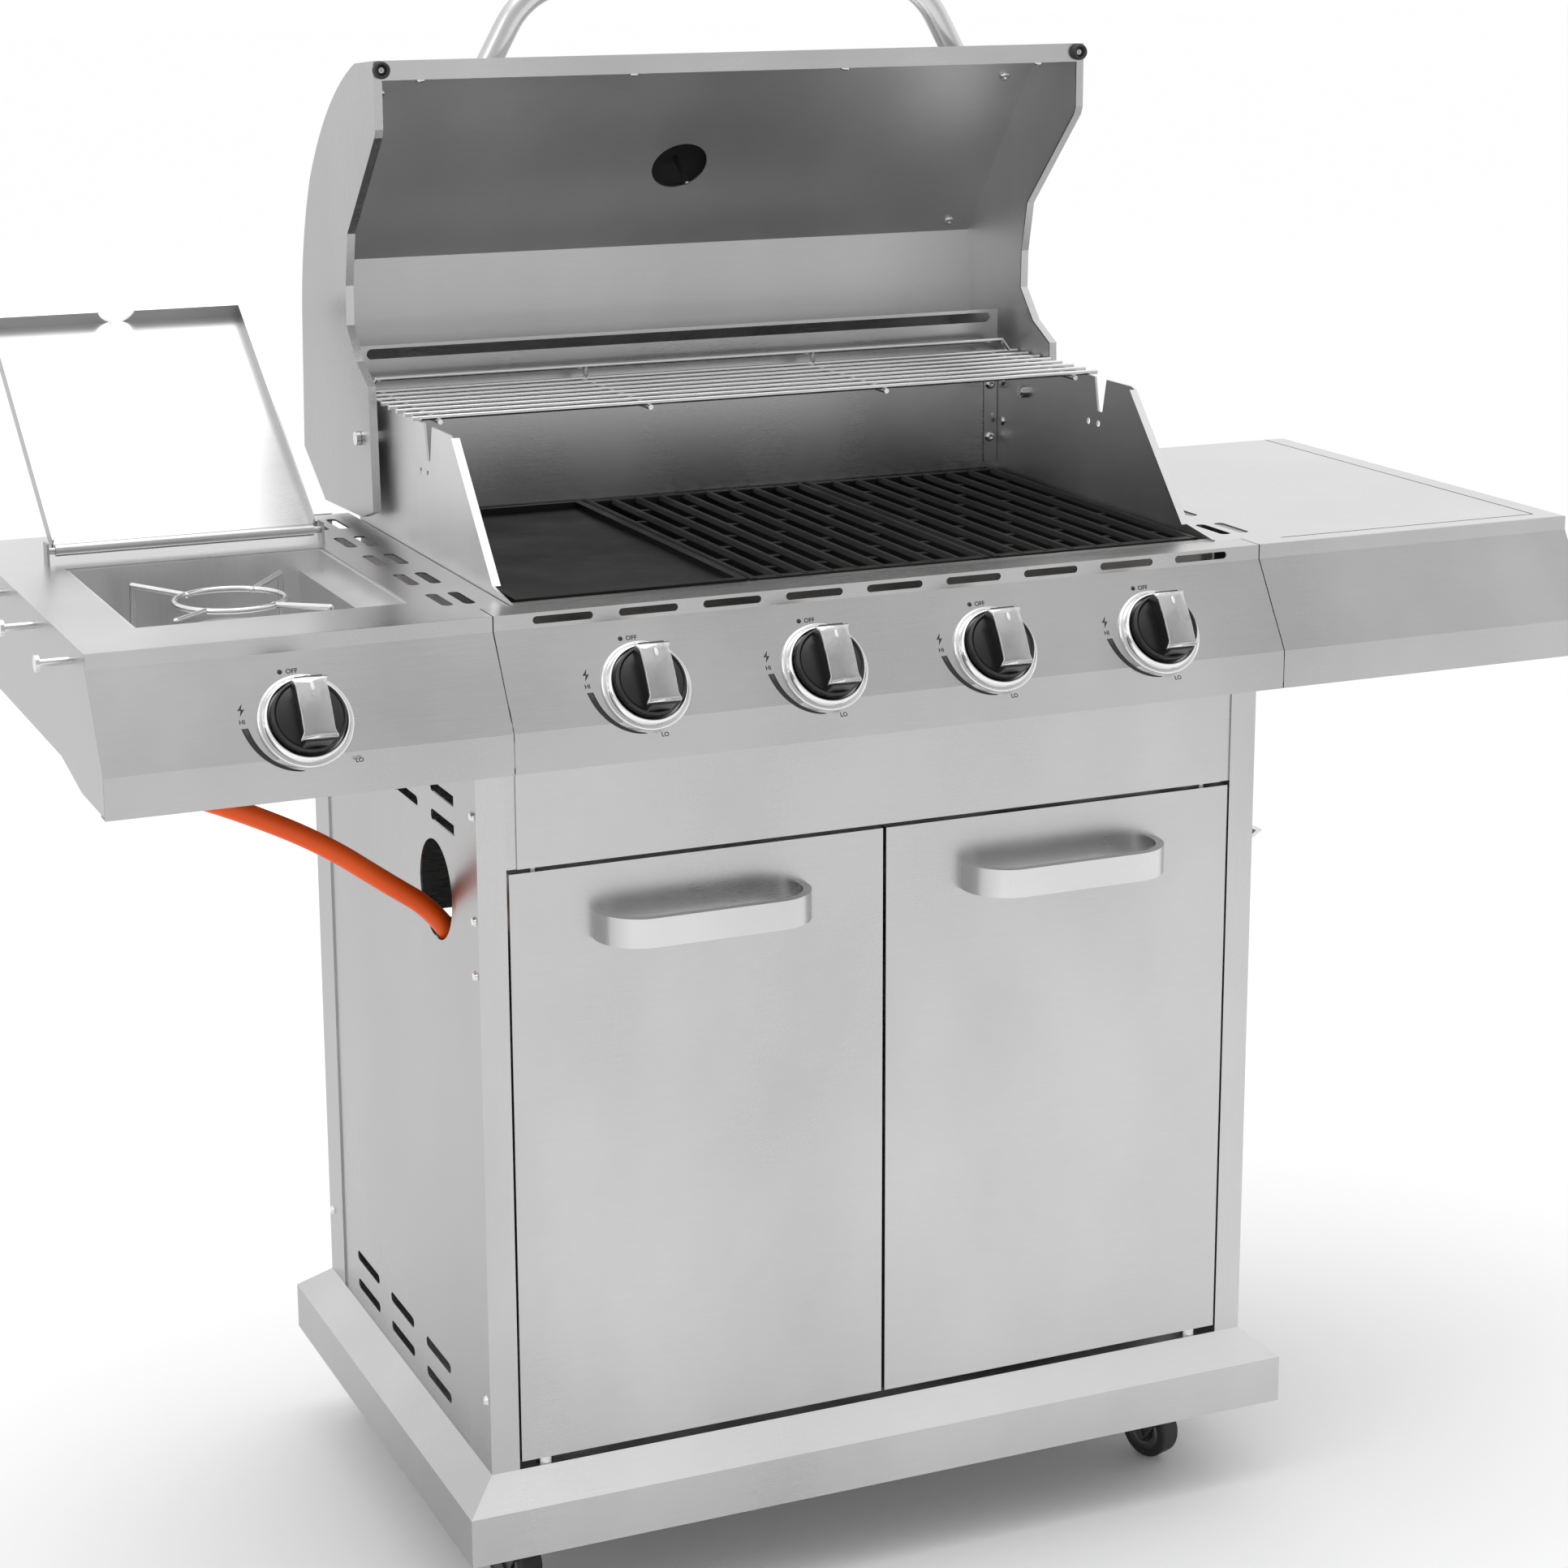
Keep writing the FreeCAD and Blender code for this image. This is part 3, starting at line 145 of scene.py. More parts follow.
def bumped(tree, shader, height, strength, distance):
    bump = tree.nodes.new("ShaderNodeBump")
    bump.inputs["Strength"].default_value = strength
    bump.inputs["Distance"].default_value = distance
    tree.links.new(height, bump.inputs["Height"])
    tree.links.new(bump.outputs["Normal"], shader.inputs["Normal"])


def grey(level, warm=0.0):
    return (level * (1 + warm), level, level * (1 - warm))


# how the grain's noise is drawn out along the grinding direction
ACROSS = {"X": (0.02, 1.0, 1.0), "Z": (1.0, 1.0, 0.02)}
PAINTED_SIDE_LEVEL = 0.7                # painted side shade: colour is scaled by this on sheet that faces the cart's left or right
EDGE_ANGLE = 35.0                # edges sharper than this, in degrees, are rounded


def painted_side_shade(tree, side_paint_level):
    """Painted side shade: colour factor 1 on most faces, and the given level where the surface looks to the cart's
    left or right.
    """
    split = tree.nodes.new("ShaderNodeSeparateXYZ")
    tree.links.new(tree.nodes.new("ShaderNodeNewGeometry").outputs["Normal"], split.inputs["Vector"])
    sideways = combined(tree, "ABSOLUTE", split.outputs["X"], 0.0)
    return between(tree, sideways, 1.0, side_paint_level, 0.5, 0.9)


def brushed_steel(name, along, level, roughness, streaks=0.01, smudges=0.07, warm=0.0,
                  side_paint_level=PAINTED_SIDE_LEVEL):
    """Sheet steel ground along one axis, with rolling clouds and handling smudges; its colour carries painted side
    shade, scaled by the given level on faces that look to the cart's left or right.
    """
    material, tree, shader = new_material(name)
    grain = noise(tree, 1500.0, 1.0, ACROSS[along])
    smudge = noise(tree, 8.0, 5.0, (1.0, 1.0, 0.6))
    cloud = noise(tree, 3.0, 1.5, (1.0, 1.0, 0.5))
    wide = weighted(tree, smudge, 0.4, cloud, 0.6)
    blend = weighted(tree, grain, 0.1, wide, 0.9)
    patina = between(tree, blend, level * 0.86, level * 1.1, 0.36, 0.64)
    # painted side shade: the colour is scaled on faces that look to the cart's left or right
    colour = tinted(tree, combined(tree, "MULTIPLY", patina, painted_side_shade(tree, side_paint_level)),
                    (0.0, 0.0, 0.0), grey(1.0, warm))
    tree.links.new(colour, shader.inputs["Base Color"])
    spread = combined(tree, "ADD", between(tree, grain, -streaks, streaks),
                      between(tree, wide, -smudges, smudges))
    tree.links.new(combined(tree, "ADD", spread, roughness), shader.inputs["Roughness"])
    shader.inputs["Metallic"].default_value = 1.0
    bumped(tree, shader, grain, 0.08, 0.00001)
    return material


def polished(name, level, roughness, scratches=0.05, warm=0.0):
    """Plated or polished metal with faint scratches."""
    material, tree, shader = new_material(name)
    marks = noise(tree, 60.0, 5.0)
    colour = tinted(tree, between(tree, marks, 0.0, 1.0), grey(level * 0.95, warm), grey(level, warm))
    tree.links.new(colour, shader.inputs["Base Color"])
    tree.links.new(between(tree, marks, max(roughness - scratches, 0.02), roughness + scratches),
                   shader.inputs["Roughness"])
    shader.inputs["Metallic"].default_value = 1.0
    bumped(tree, shader, noise(tree, 300.0, 2.0), 0.03, 0.0001)
    return material


def plain_coated(name, dark, light, roughness, grain_scale, grain_depth, variation=0.08, gloss=0.5):
    """Non-metal surface: enamel, plastic, rubber or ink."""
    material, tree, shader = new_material(name)
    grain = noise(tree, grain_scale, 3.0)
    cloud = noise(tree, 14.0, 4.0)
    tree.links.new(tinted(tree, between(tree, cloud, 0.0, 1.0), dark, light), shader.inputs["Base Color"])
    tree.links.new(between(tree, cloud, roughness - variation, roughness + variation),
                   shader.inputs["Roughness"])
    shader.inputs["Specular IOR Level"].default_value = gloss
    bumped(tree, shader, grain, 0.5, grain_depth)
    return material


STEEL_LEVEL = 0.56
steel_x = brushed_steel("steel_brushed_x", "X", STEEL_LEVEL, 0.3)
steel_z = brushed_steel("steel_brushed_z", "Z", STEEL_LEVEL, 0.27)
lid_steel = brushed_steel("lid_steel_brushed", "X", STEEL_LEVEL, 0.27)
# painted light: the lid liner and firebox cheeks are lighter than the other steel, and lighter still on sideways
# faces, to lift their shaded insides
liner_steel = brushed_steel("lid_liner_brushed", "X", 0.68, 0.46, side_paint_level=1.15)
cheek_steel = brushed_steel("firebox_cheek_brushed", "Z", 0.68, 0.4, side_paint_level=1.1)
# painted shade: the control panel and shelf fascias are darker than the other steel, and much darker on faces that
# look left or right, such as the left shelf's end
fascia_steel = brushed_steel("shelf_fascia_brushed", "X", 0.5, 0.3, side_paint_level=0.5)
lid_side_steel = brushed_steel("lid_side_brushed", "Z", STEEL_LEVEL, 0.27)
fire_steel = brushed_steel("fire_steel_dull", "X", 0.42, 0.42, 0.06, 0.12, 0.03)
handle_steel = brushed_steel("handle_satin", "X", 0.68, 0.26, 0.01, 0.04)
wire_steel = polished("wire_plated", 0.72, 0.2)
chrome = polished("chrome_plate", 0.86, 0.07, 0.03)
zinc = polished("zinc_plate", 0.5, 0.38, 0.08)
fork_steel = polished("fork_dark_plate", 0.12, 0.4, 0.08)
cast_iron = plain_coated("cast_iron_enamel", grey(0.005), grey(0.011), 0.42, 700.0, 0.0002, 0.1, 0.22)
knob_black = plain_coated("knob_satin_black", grey(0.006), grey(0.010), 0.3, 900.0, 0.00002, 0.04)
tyre_black = plain_coated("wheel_rubber_black", grey(0.012), grey(0.03), 0.6, 500.0, 0.0001, 0.1)
ink = plain_coated("dial_ink", grey(0.012), grey(0.02), 0.5, 600.0, 0.00001, 0.05)
white_paint = plain_coated("white_paint", grey(0.75), grey(0.8), 0.4, 600.0, 0.00001, 0.05)
hose_rubber = plain_coated("hose_orange_rubber", (0.82, 0.085, 0.004), (0.9, 0.11, 0.006), 0.45, 260.0,
                           0.00005, 0.06, 0.35)
burner_brass = brushed_steel("burner_brass_dull", "Z", 0.45, 0.42)
# painted shade: near-black for the thermometer inside the lid, the cup behind the liner's hole and the shelf's
# fold lines, standing in for their shadow
painted_shade_black = plain_coated("painted_shade_inside", grey(0.002), grey(0.004), 0.8, 300.0, 0.0001)

# which finish each CAD node gets, and how far its edges are rounded, in millimetres
FINISHES = [
    (steel_x, 0.6, ["base_pan", "upper_fascia", "left_shelf", "right_shelf", "door_left", "door_right",
                    "firebox_rear_wall", "side_lid", "rear_panel"]),
    (fascia_steel, 0.6, ["control_panel", "shelf_fascias"]),
    (steel_z, 0.6, ["cabinet_posts", "side_panel_left", "side_panel_right"]),
    (cheek_steel, 0.6, ["firebox_cheeks", "side_burner_tray"]),
    (lid_steel, 0.6, ["lid_skin"]),
    (liner_steel, 0.4, ["lid_liner"]),
    (lid_side_steel, 0.7, ["lid_cheeks"]),
    (fire_steel, 0.5, ["firebox_trough", "drip_tray", "burner_tubes", "heat_tents"]),
    (handle_steel, 2.4, ["door_handle_left", "door_handle_right"]),
    (handle_steel, 0.0, ["lid_handle"]),
    (wire_steel, 0.0, ["warming_rack", "pan_support", "door_pins"]),
    (wire_steel, 0.7, ["tool_pegs", "bottle_opener", "fasteners"]),
    (chrome, 0.5, ["knob_bezels"]),
    # painted shade: the CAD thermometer is made near-black so that its stem reads as shadow inside the lid
    (painted_shade_black, 0.5, ["lid_thermometer"]),
    (zinc, 0.8, ["gas_manifold", "gas_inlet", "gas_regulator"]),
    (cast_iron, 1.6, ["griddle", "grate_middle", "grate_right"]),
    (burner_brass, 1.0, ["side_burner"]),
]
for finish, rounding, names in FINISHES:
    for name in names:
        nodes[name].data.materials.clear()
        nodes[name].data.materials.append(finish)
        if rounding:
            bevel = nodes[name].modifiers.new("rounded_edges", "BEVEL")
            bevel.width = rounding * MM
            bevel.segments = 3
            bevel.limit_method = "ANGLE"
            bevel.angle_limit = math.radians(EDGE_ANGLE)
            bevel.harden_normals = True
for name in nodes:
    if name.startswith("knob_stem"):
        nodes[name].data.materials.clear()
        nodes[name].data.materials.append(chrome)
    if name.startswith("caster_fork"):
        nodes[name].data.materials.clear()
        nodes[name].data.materials.append(fork_steel)
    if name.startswith("caster_wheel"):
        nodes[name].data.materials.clear()
        nodes[name].data.materials.append(tyre_black)


# ---- Mesh helpers -----------------------------------------------------------------
def add_piece(name, mesh, material, body, matrix=None):
    """New piece from a mesh, riding on a CAD body."""
    if isinstance(mesh, bmesh.types.BMesh):
        data = bpy.data.meshes.new(name)
        bmesh.ops.recalc_face_normals(mesh, faces=mesh.faces[:])
        mesh.to_mesh(data)
        mesh.free()
        mesh = data
    if matrix is not None:
        mesh.transform(matrix)
    piece = bpy.data.objects.new(name, mesh)
    bpy.context.scene.collection.objects.link(piece)
    mesh.materials.append(material)
    mesh.shade_smooth()
    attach(piece, body)
    return piece


def rounded(piece, width, segments=3, angle=EDGE_ANGLE):
    bevel = piece.modifiers.new("rounded_edges", "BEVEL")
    bevel.width = width * MM
    bevel.segments = segments
    bevel.limit_method = "ANGLE"
    bevel.angle_limit = math.radians(angle)
    bevel.harden_normals = True
    return piece


def revolved(profile, steps=64):
    """Surface of (radius, height) millimetre points turned about Z; points at radius 0 close it."""
    mesh = bmesh.new()
    rings = []
    for radius, height in profile:
        if radius < 1e-6:
            rings.append([mesh.verts.new((0, 0, height * MM))])
            continue
        ring = []
        for i in range(steps):
            angle = 2 * math.pi * i / steps
            place = (radius * math.cos(angle) * MM, radius * math.sin(angle) * MM, height * MM)
            ring.append(mesh.verts.new(place))
        rings.append(ring)
    for low, high in zip(rings, rings[1:]):
        for i in range(steps):
            j = (i + 1) % steps
            corners = [low[i % len(low)], low[j % len(low)], high[j % len(high)], high[i % len(high)]]
            mesh.faces.new(list(dict.fromkeys(corners)))
    return mesh


def prism(outline, low, high):
    """Closed solid of an (x, y) millimetre outline between two heights."""
    mesh = bmesh.new()
    bottom = [mesh.verts.new((x * MM, y * MM, low * MM)) for x, y in outline]
    top = [mesh.verts.new((x * MM, y * MM, high * MM)) for x, y in outline]
    mesh.faces.new(bottom)
    mesh.faces.new(top)
    for i in range(len(outline)):
        j = (i + 1) % len(outline)
        mesh.faces.new((bottom[i], bottom[j], top[j], top[i]))
    return mesh


def joined(meshes):
    """One bmesh holding several."""
    whole = bmesh.new()
    for mesh in meshes:
        part = bpy.data.meshes.new("part")
        bmesh.ops.recalc_face_normals(mesh, faces=mesh.faces[:])
        mesh.to_mesh(part)
        mesh.free()
        whole.from_mesh(part)
        bpy.data.meshes.remove(part)
    return whole


def moved(mesh, matrix):
    bmesh.ops.transform(mesh, matrix=matrix, verts=mesh.verts[:])
    return mesh


def facing(origin, out, right=Vector((1, 0, 0))):
    """Matrix whose Z points out and whose X is as near to right as it can be."""
    out = Vector(out).normalized()
    up = out.cross(right).normalized()
    matrix = Matrix((up.cross(out), up, out)).transposed().to_4x4()
    matrix.translation = origin
    return matrix


# ---- Hose ---------------------------------------------------------------------------
HOSE_DIAMETER = 0.017
HOSE_ROUTE = [
    (-0.612, 0.010, 0.762), (-0.600, 0.052, 0.744), (-0.566, 0.090, 0.716), (-0.505, 0.112, 0.686),
    (-0.441, 0.114, 0.652), (-0.388, 0.112, 0.612), (-0.350, 0.112, 0.585), (-0.316, 0.114, 0.530),
    (-0.310, 0.122, 0.462), (-0.312, 0.136, 0.390), (-0.318, 0.154, 0.318), (-0.312, 0.176, 0.246),
    (-0.288, 0.204, 0.188), (-0.244, 0.236, 0.154), (-0.186, 0.262, 0.1476), (-0.124, 0.276, 0.1476),
]

hose_curve = bpy.data.curves.new("gas_hose_rubber", "CURVE")
hose_curve.dimensions = "3D"
hose_curve.bevel_depth = HOSE_DIAMETER / 2
hose_curve.bevel_resolution = 8
hose_curve.resolution_u = 24
hose_curve.use_fill_caps = True
hose_line = hose_curve.splines.new("NURBS")
hose_line.points.add(len(HOSE_ROUTE) - 1)
for point, place in zip(hose_line.points, HOSE_ROUTE):
    point.co = (*(CART + Vector(place)), 1.0)
hose_line.order_u = 3
hose_line.use_endpoint_u = True
hose = bpy.data.objects.new("gas_hose_rubber", hose_curve)
bpy.context.scene.collection.objects.link(hose)
hose_curve.materials.append(hose_rubber)
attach(hose, body_of_node["gas_hose"])
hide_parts("gas_hose")


# ---- Knobs, bezels and dial marks ----------------------------------------------------
KNOBS = ("side", "one", "two", "three", "four")
KNOB_FOOT = 8.0                  # the knob's underside above the panel
MARK_HEIGHT = 0.06               # thickness of printed marks
POINTER_Y = 15.0                 # white dot on the grip
POINTER_Z = 27.5


def arc_points(radius, start, end, steps):
    span = math.radians(end - start)
    first = math.radians(start)
    return [(radius * math.cos(first + span * i / steps), radius * math.sin(first + span * i / steps))
            for i in range(steps + 1)]


def knob_body():
    profile = [(0, 0), (27.6, 0), (28.2, 0.6), (28.2, 6.2), (27.7, 7.4), (26.7, 7.9), (25.9, 7.7),
               (25.2, 7.0), (21, 8.2), (14, 9.6), (0, 10.4)]
    return revolved(profile, 96)


def grip_side(x, half, crest, end, steps=14):
    """Points across the grip's ridge at one x: a shallow arc along its length."""
    points = []
    for i in range(steps + 1):
        y = -half + 2 * half * i / steps
        points.append((x, y, crest - (crest - end) * (y / half) ** 2))
    return points


def grip_solid(width, half, crest, end, foot):
    """Bar across the knob whose top is an arc from end to end."""
    mesh = bmesh.new()
    rows = []
    for x in (-width / 2, width / 2):
        ridge = grip_side(x, half, crest, end)
        top = [mesh.verts.new((px * MM, py * MM, pz * MM)) for px, py, pz in ridge]
        low = [mesh.verts.new((px * MM, py * MM, foot * MM)) for px, py, _ in ridge]
        rows.append((top, low))
    (left_top, left_low), (right_top, right_low) = rows
    for i in range(len(left_top) - 1):
        mesh.faces.new((left_top[i], left_top[i + 1], right_top[i + 1], right_top[i]))
        mesh.faces.new((left_low[i], left_low[i + 1], right_low[i + 1], right_low[i]))
        mesh.faces.new((left_top[i], left_top[i + 1], left_low[i + 1], left_low[i]))
        mesh.faces.new((right_top[i], right_top[i + 1], right_low[i + 1], right_low[i]))
    for i in (0, -1):
        mesh.faces.new((left_top[i], right_top[i], right_low[i], left_low[i]))
    return mesh


CAP_HALF = 24.0                  # half the cap's length
CAP_CREST = 28.0                 # its top above the knob's underside


def grip_cap():
    """Chrome strap over the grip: plate along the ridge, turned down and flared at both ends."""
    mesh = bmesh.new()
    tip = [(CAP_HALF, 22.6, 13.6), (CAP_HALF - 0.3, 24.0, 14.2), (CAP_HALF - 1.6, 25.4, 14.0),
           (CAP_HALF - 3.4, 26.2, 12.9), (CAP_HALF - 5.2, 26.7, 12.1)]
    stations = [(-y, z, half_width) for y, z, half_width in tip]
    steps = 10
    inner = CAP_HALF - 6.5
    for i in range(steps + 1):
        y = -inner + 2 * inner * i / steps
        stations.append((y, CAP_CREST - 1.2 * (y / inner) ** 2, 12.0))
    stations += tip[::-1]
    rows = []
    for y, z, half_width in stations:
        rows.append([mesh.verts.new((x * half_width * MM, y * MM, (z - sag) * MM))
                     for x, sag in ((-1.0, 1.8), (-0.98, 0.5), (-0.9, 0.05), (0.0, -0.3), (0.9, 0.05),
                                    (0.98, 0.5), (1.0, 1.8))])
    for low, high in zip(rows, rows[1:]):
        for i in range(len(low) - 1):
            mesh.faces.new((low[i], low[i + 1], high[i + 1], high[i]))
    bmesh.ops.solidify(mesh, geom=mesh.faces[:], thickness=0.9 * MM)
    return mesh


def letters(text, size, x, y):
    """Flat lettering as a bmesh, centred on (x, y) millimetres."""
    curve = bpy.data.curves.new(text, "FONT")
    curve.body = text
    curve.size = size * MM
    curve.align_x = "CENTER"
    curve.align_y = "CENTER"
    curve.extrude = MARK_HEIGHT * MM
    curve.offset = 0.1 * MM
    curve.resolution_u = 3
    holder = bpy.data.objects.new(text, curve)
    bpy.context.scene.collection.objects.link(holder)
    bpy.context.view_layer.update()
    outline = bpy.data.meshes.new_from_object(holder)
    mesh = bmesh.new()
    mesh.from_mesh(outline)
    bpy.data.objects.remove(holder)
    bpy.data.curves.remove(curve)
    bpy.data.meshes.remove(outline)
    return moved(mesh, Matrix.Translation((x * MM, y * MM, 0)))


def dial_marks(low_at):
    """Off dot and letters, spark bolt, and the flame arc from high to low."""
    dot = prism([(-12.5 + x, 40.2 + y) for x, y in arc_points(1.9, 0, 345, 23)], 0, MARK_HEIGHT)
    bolt = prism([(-45.0, 18.5), (-49.2, 13.2), (-46.6, 13.4), (-47.9, 8.6), (-43.7, 14.2), (-46.2, 13.9)],
                 0, MARK_HEIGHT)
    outer = []
    inner = []
    steps = 24
    for i in range(steps + 1):
        share = i / steps
        angle = math.radians(181 + 78 * share)
        middle = 46.0 - 7.6 * share ** 0.8
        half = 2.3 * (1 - share) ** 0.7 + 0.25
        outer.append(((middle + half) * math.cos(angle), (middle + half) * math.sin(angle)))
        inner.append(((middle - half) * math.cos(angle), (middle - half) * math.sin(angle)))
    arc = prism(outer + inner[::-1], 0, MARK_HEIGHT)
    return joined([dot, bolt, arc, letters("OFF", 5.2, -3.5, 40.0), letters("HI", 4.8, -47.0, 4.2),
                   letters("LO", 4.8, *low_at)])


bezel_profile = [(29.6, 0.2), (29.6, 7.4), (30.0, 8.6), (30.7, 9.0), (31.6, 8.6), (32.6, 7.0), (33.5, 4.6),
                 (33.9, 2.4), (34.2, 1.5), (34.5, 1.5), (34.8, 2.6), (35.4, 3.1), (36.1, 2.7), (36.5, 1.6),
                 (36.5, 0.1)]
bezel_meshes = []
for knob_name in KNOBS:
    joint = joints["knob_" + knob_name + "_turn"]
    face = facing(Vector(joint["pos_m"]), joint["axis"])
    foot = face @ Matrix.Translation((0, 0, KNOB_FOOT * MM))
    knob = add_piece("knob_" + knob_name + "_body", knob_body(), knob_black, joint["child"],
                     foot)
    rounded(knob, 0.3, 2, 50)
    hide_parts("knob_" + knob_name)
    grip = add_piece("knob_" + knob_name + "_grip", grip_solid(21.0, 25.6, 27.0, 22.0, 6.0), knob_black,
                     joint["child"], foot)
    rounded(grip, 0.8)
    cap = add_piece("knob_" + knob_name + "_cap", grip_cap(), chrome, joint["child"], foot)
    rounded(cap, 0.3, 2)
    pointer_at = foot @ Matrix.Translation((0, POINTER_Y * MM, POINTER_Z * MM))
    add_piece("knob_" + knob_name + "_pointer",
              revolved([(0, 0), (1.6, 0), (1.5, 0.8), (0.9, 1.1), (0, 1.2)], 20), white_paint,
              joint["child"], pointer_at @ Matrix.Diagonal((1, 2.2, 1, 1)))
    bezel_meshes.append(moved(revolved(bezel_profile, 96), face))
    low_at = (35.0, -34.0) if knob_name == "side" else (7.0, -40.2)
    add_piece("dial_marks_" + knob_name, dial_marks(low_at), ink, body_of_node["control_panel"],
              face @ Matrix.Translation((0, 0, 0.05 * MM)))
bezels = add_piece("knob_bezel_rings", joined(bezel_meshes), chrome, body_of_node["knob_bezels"])
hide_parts("knob_bezels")


# ---- Small hardware -----------------------------------------------------------------------
def box_mesh(low, high):
    """Box between two corners in the cart's measures."""
    mesh = bmesh.new()
    bmesh.ops.create_cube(mesh, size=1.0)
    low, high = at(*low), at(*high)
    size = high - low
    return moved(mesh, Matrix.Translation((low + high) / 2) @ Matrix.Diagonal((*size, 1.0)))


def screw_head(radius, height):
    """Pan head with a sunk middle, standing on Z = 0."""
    dome = [(radius, 0), (radius, height * 0.35), (radius * 0.86, height * 0.75),
            (radius * 0.55, height * 0.97), (radius * 0.3, height), (radius * 0.22, height * 0.55),
            (0, height * 0.5)]
    return revolved(dome, 28)


def put(name, mesh, material, body, places, out):
    """Copies of one mesh at several cart places, all facing out, as one piece."""
    copies = []
    for place in places:
        copies.append(moved(mesh.copy(), facing(at(*place), Vector(out))))
    mesh.free()
    return add_piece(name, joined(copies), material, body)


LID_BODY = body_of_node["lid_skin"]
# the open lid, in the cart's measures
BAR_FACE = 283.0                 # front face of the lid's rim
BAR_MIDDLE = 1247.0
BAR_FOLD = (291.0, 1238.2)       # Y and Z under the rim's fold
BUMPER_X = 322.0                 # clear of the firebox cheeks when the lid is shut
RIVET_XS = (-286.0, -98.0, 98.0, 286.0)
LINER_FOLD = (364.7, 1233.9)     # Y and Z of the liner's front fold, on its face
LINER_RUN = (130.0, -164.0)      # from there to its crease
LINER_SCREW_X = 296.0
LINER_OUT = (0, -0.784, -0.621)  # square to the liner, into the firebox side
GAUGE_AT = (0, 434.9, 1148.1)    # where the thermometer's axis meets the liner
GAUGE_OUT = Vector((0, 0.784, 0.621))
GAUGE_FACE = 45.4                # the dial's face along that axis
GAUGE_STEM_END = -24.4
FORWARD = (0, -1, 0)
DOWN = (0, 0, -1)

bumper_profile = [(7.0, 0), (7.2, 2.2), (6.9, 5.0), (6.0, 5.9), (4.9, 5.8), (4.3, 5.0), (4.3, 1.6),
                  (0, 1.6)]
bumper_places = [(-BUMPER_X, BAR_FACE, BAR_MIDDLE), (BUMPER_X, BAR_FACE, BAR_MIDDLE)]
put("lid_bumpers", revolved(bumper_profile, 40), tyre_black, LID_BODY, bumper_places,
    FORWARD)
put("lid_bumper_screws", screw_head(3.4, 2.0), zinc, LID_BODY,
    [(x, y - 1.5, z) for x, y, z in bumper_places], FORWARD)
put("lid_rim_rivets", screw_head(4.2, 2.6), wire_steel, LID_BODY,
    [(x, *BAR_FOLD) for x in RIVET_XS], DOWN)


def on_liner(x, share):
    """Cart place on the liner's sloping face: share 0 at its front fold, 1 at its crease."""
    return (x, *(start + run * share for start, run in zip(LINER_FOLD, LINER_RUN)))


put("lid_liner_screws", screw_head(5.0, 3.0), wire_steel, LID_BODY,
    [on_liner(side * LINER_SCREW_X, share) for side in (-1, 1) for share in (0.07, 0.93)], LINER_OUT)

# thermometer: a dark cup of painted shade in the liner's hole, stem tip, and the dial outside
gauge = facing(at(*GAUGE_AT), GAUGE_OUT)
cup_profile = [(0, 11.0), (31.0, 11.0), (31.0, 1.8), (27.2, 1.8), (27.2, 10.0), (0, 10.0)]
tip_profile = [(0, -0.6), (1.6, -0.4), (2.0, 0.4), (2.0, 1.0), (0, 1.0)]
face_profile = [(0, 0.25), (26.0, 0.25), (26.0, 0.0), (0, 0.0)]
rim_profile = [(26.0, -0.4), (26.0, 0.9), (26.8, 1.5), (28.2, 1.4), (29.6, 0.4), (30.1, -1.4), (30.1, -9.6),
               (29.0, -9.7)]
add_piece("gauge_painted_shade", revolved(cup_profile, 48), painted_shade_black, LID_BODY, gauge)
add_piece("gauge_stem_tip", revolved(tip_profile, 24), zinc, LID_BODY,
          gauge @ Matrix.Translation((0, 0, GAUGE_STEM_END * MM)))
dial = gauge @ Matrix.Translation((0, 0, GAUGE_FACE * MM))
add_piece("gauge_face", revolved(face_profile, 64), white_paint, LID_BODY, dial)
ticks = []
for i in range(25):
    angle = math.radians(-40 + 260 * i / 24)
    start, width = (19.0, 0.45) if i % 4 == 0 else (21.5, 0.28)
    tick = prism([(start, -width), (24.0, -width), (24.0, width), (start, width)], 0.2, 0.4)
    ticks.append(moved(tick, Matrix.Rotation(angle, 4, "Z")))
needle = prism([(-5, -0.9), (17, -0.25), (17, 0.25), (-5, 0.9)], 0.5, 0.9)
ticks.append(moved(needle, Matrix.Rotation(3.6, 4, "Z")))
ticks.append(revolved([(2.2, 0.2), (2.2, 1.2), (0, 1.4)], 24))
add_piece("gauge_marks", joined(ticks), ink, LID_BODY, dial)
add_piece("gauge_rim", revolved(rim_profile, 64), chrome, LID_BODY, dial)

# corner angles that hold the rear wall, with their bolts
BODY = body_of_node["firebox_rear_wall"]
for side, side_name in ((-1, "left"), (1, "right")):
    xs = sorted((side * 310.8, side * 297.0))
    angle = add_piece("corner_angle_" + side_name,
                      joined([box_mesh((xs[0], 409.4, 860.0), (xs[1], 410.8, 962.0))]), steel_z, BODY)
    rounded(angle, 0.5)
    put("corner_bolts_" + side_name, screw_head(4.6, 3.4), wire_steel, BODY,
        [(side * 303.0, 409.5, z) for z in (884.0, 934.0)], FORWARD)

# fold lines of the plain shelf's top, as thin dark strips of painted shade
SHELF_TOP = 853.0
fold = [box_mesh((372.0, 2.0, SHELF_TOP), (629.0, 2.8, SHELF_TOP + 0.12)),
        box_mesh((628.2, 2.0, SHELF_TOP), (629.0, 444.0, SHELF_TOP + 0.12))]
add_piece("shelf_fold_lines", joined(fold), painted_shade_black, body_of_node["right_shelf"])

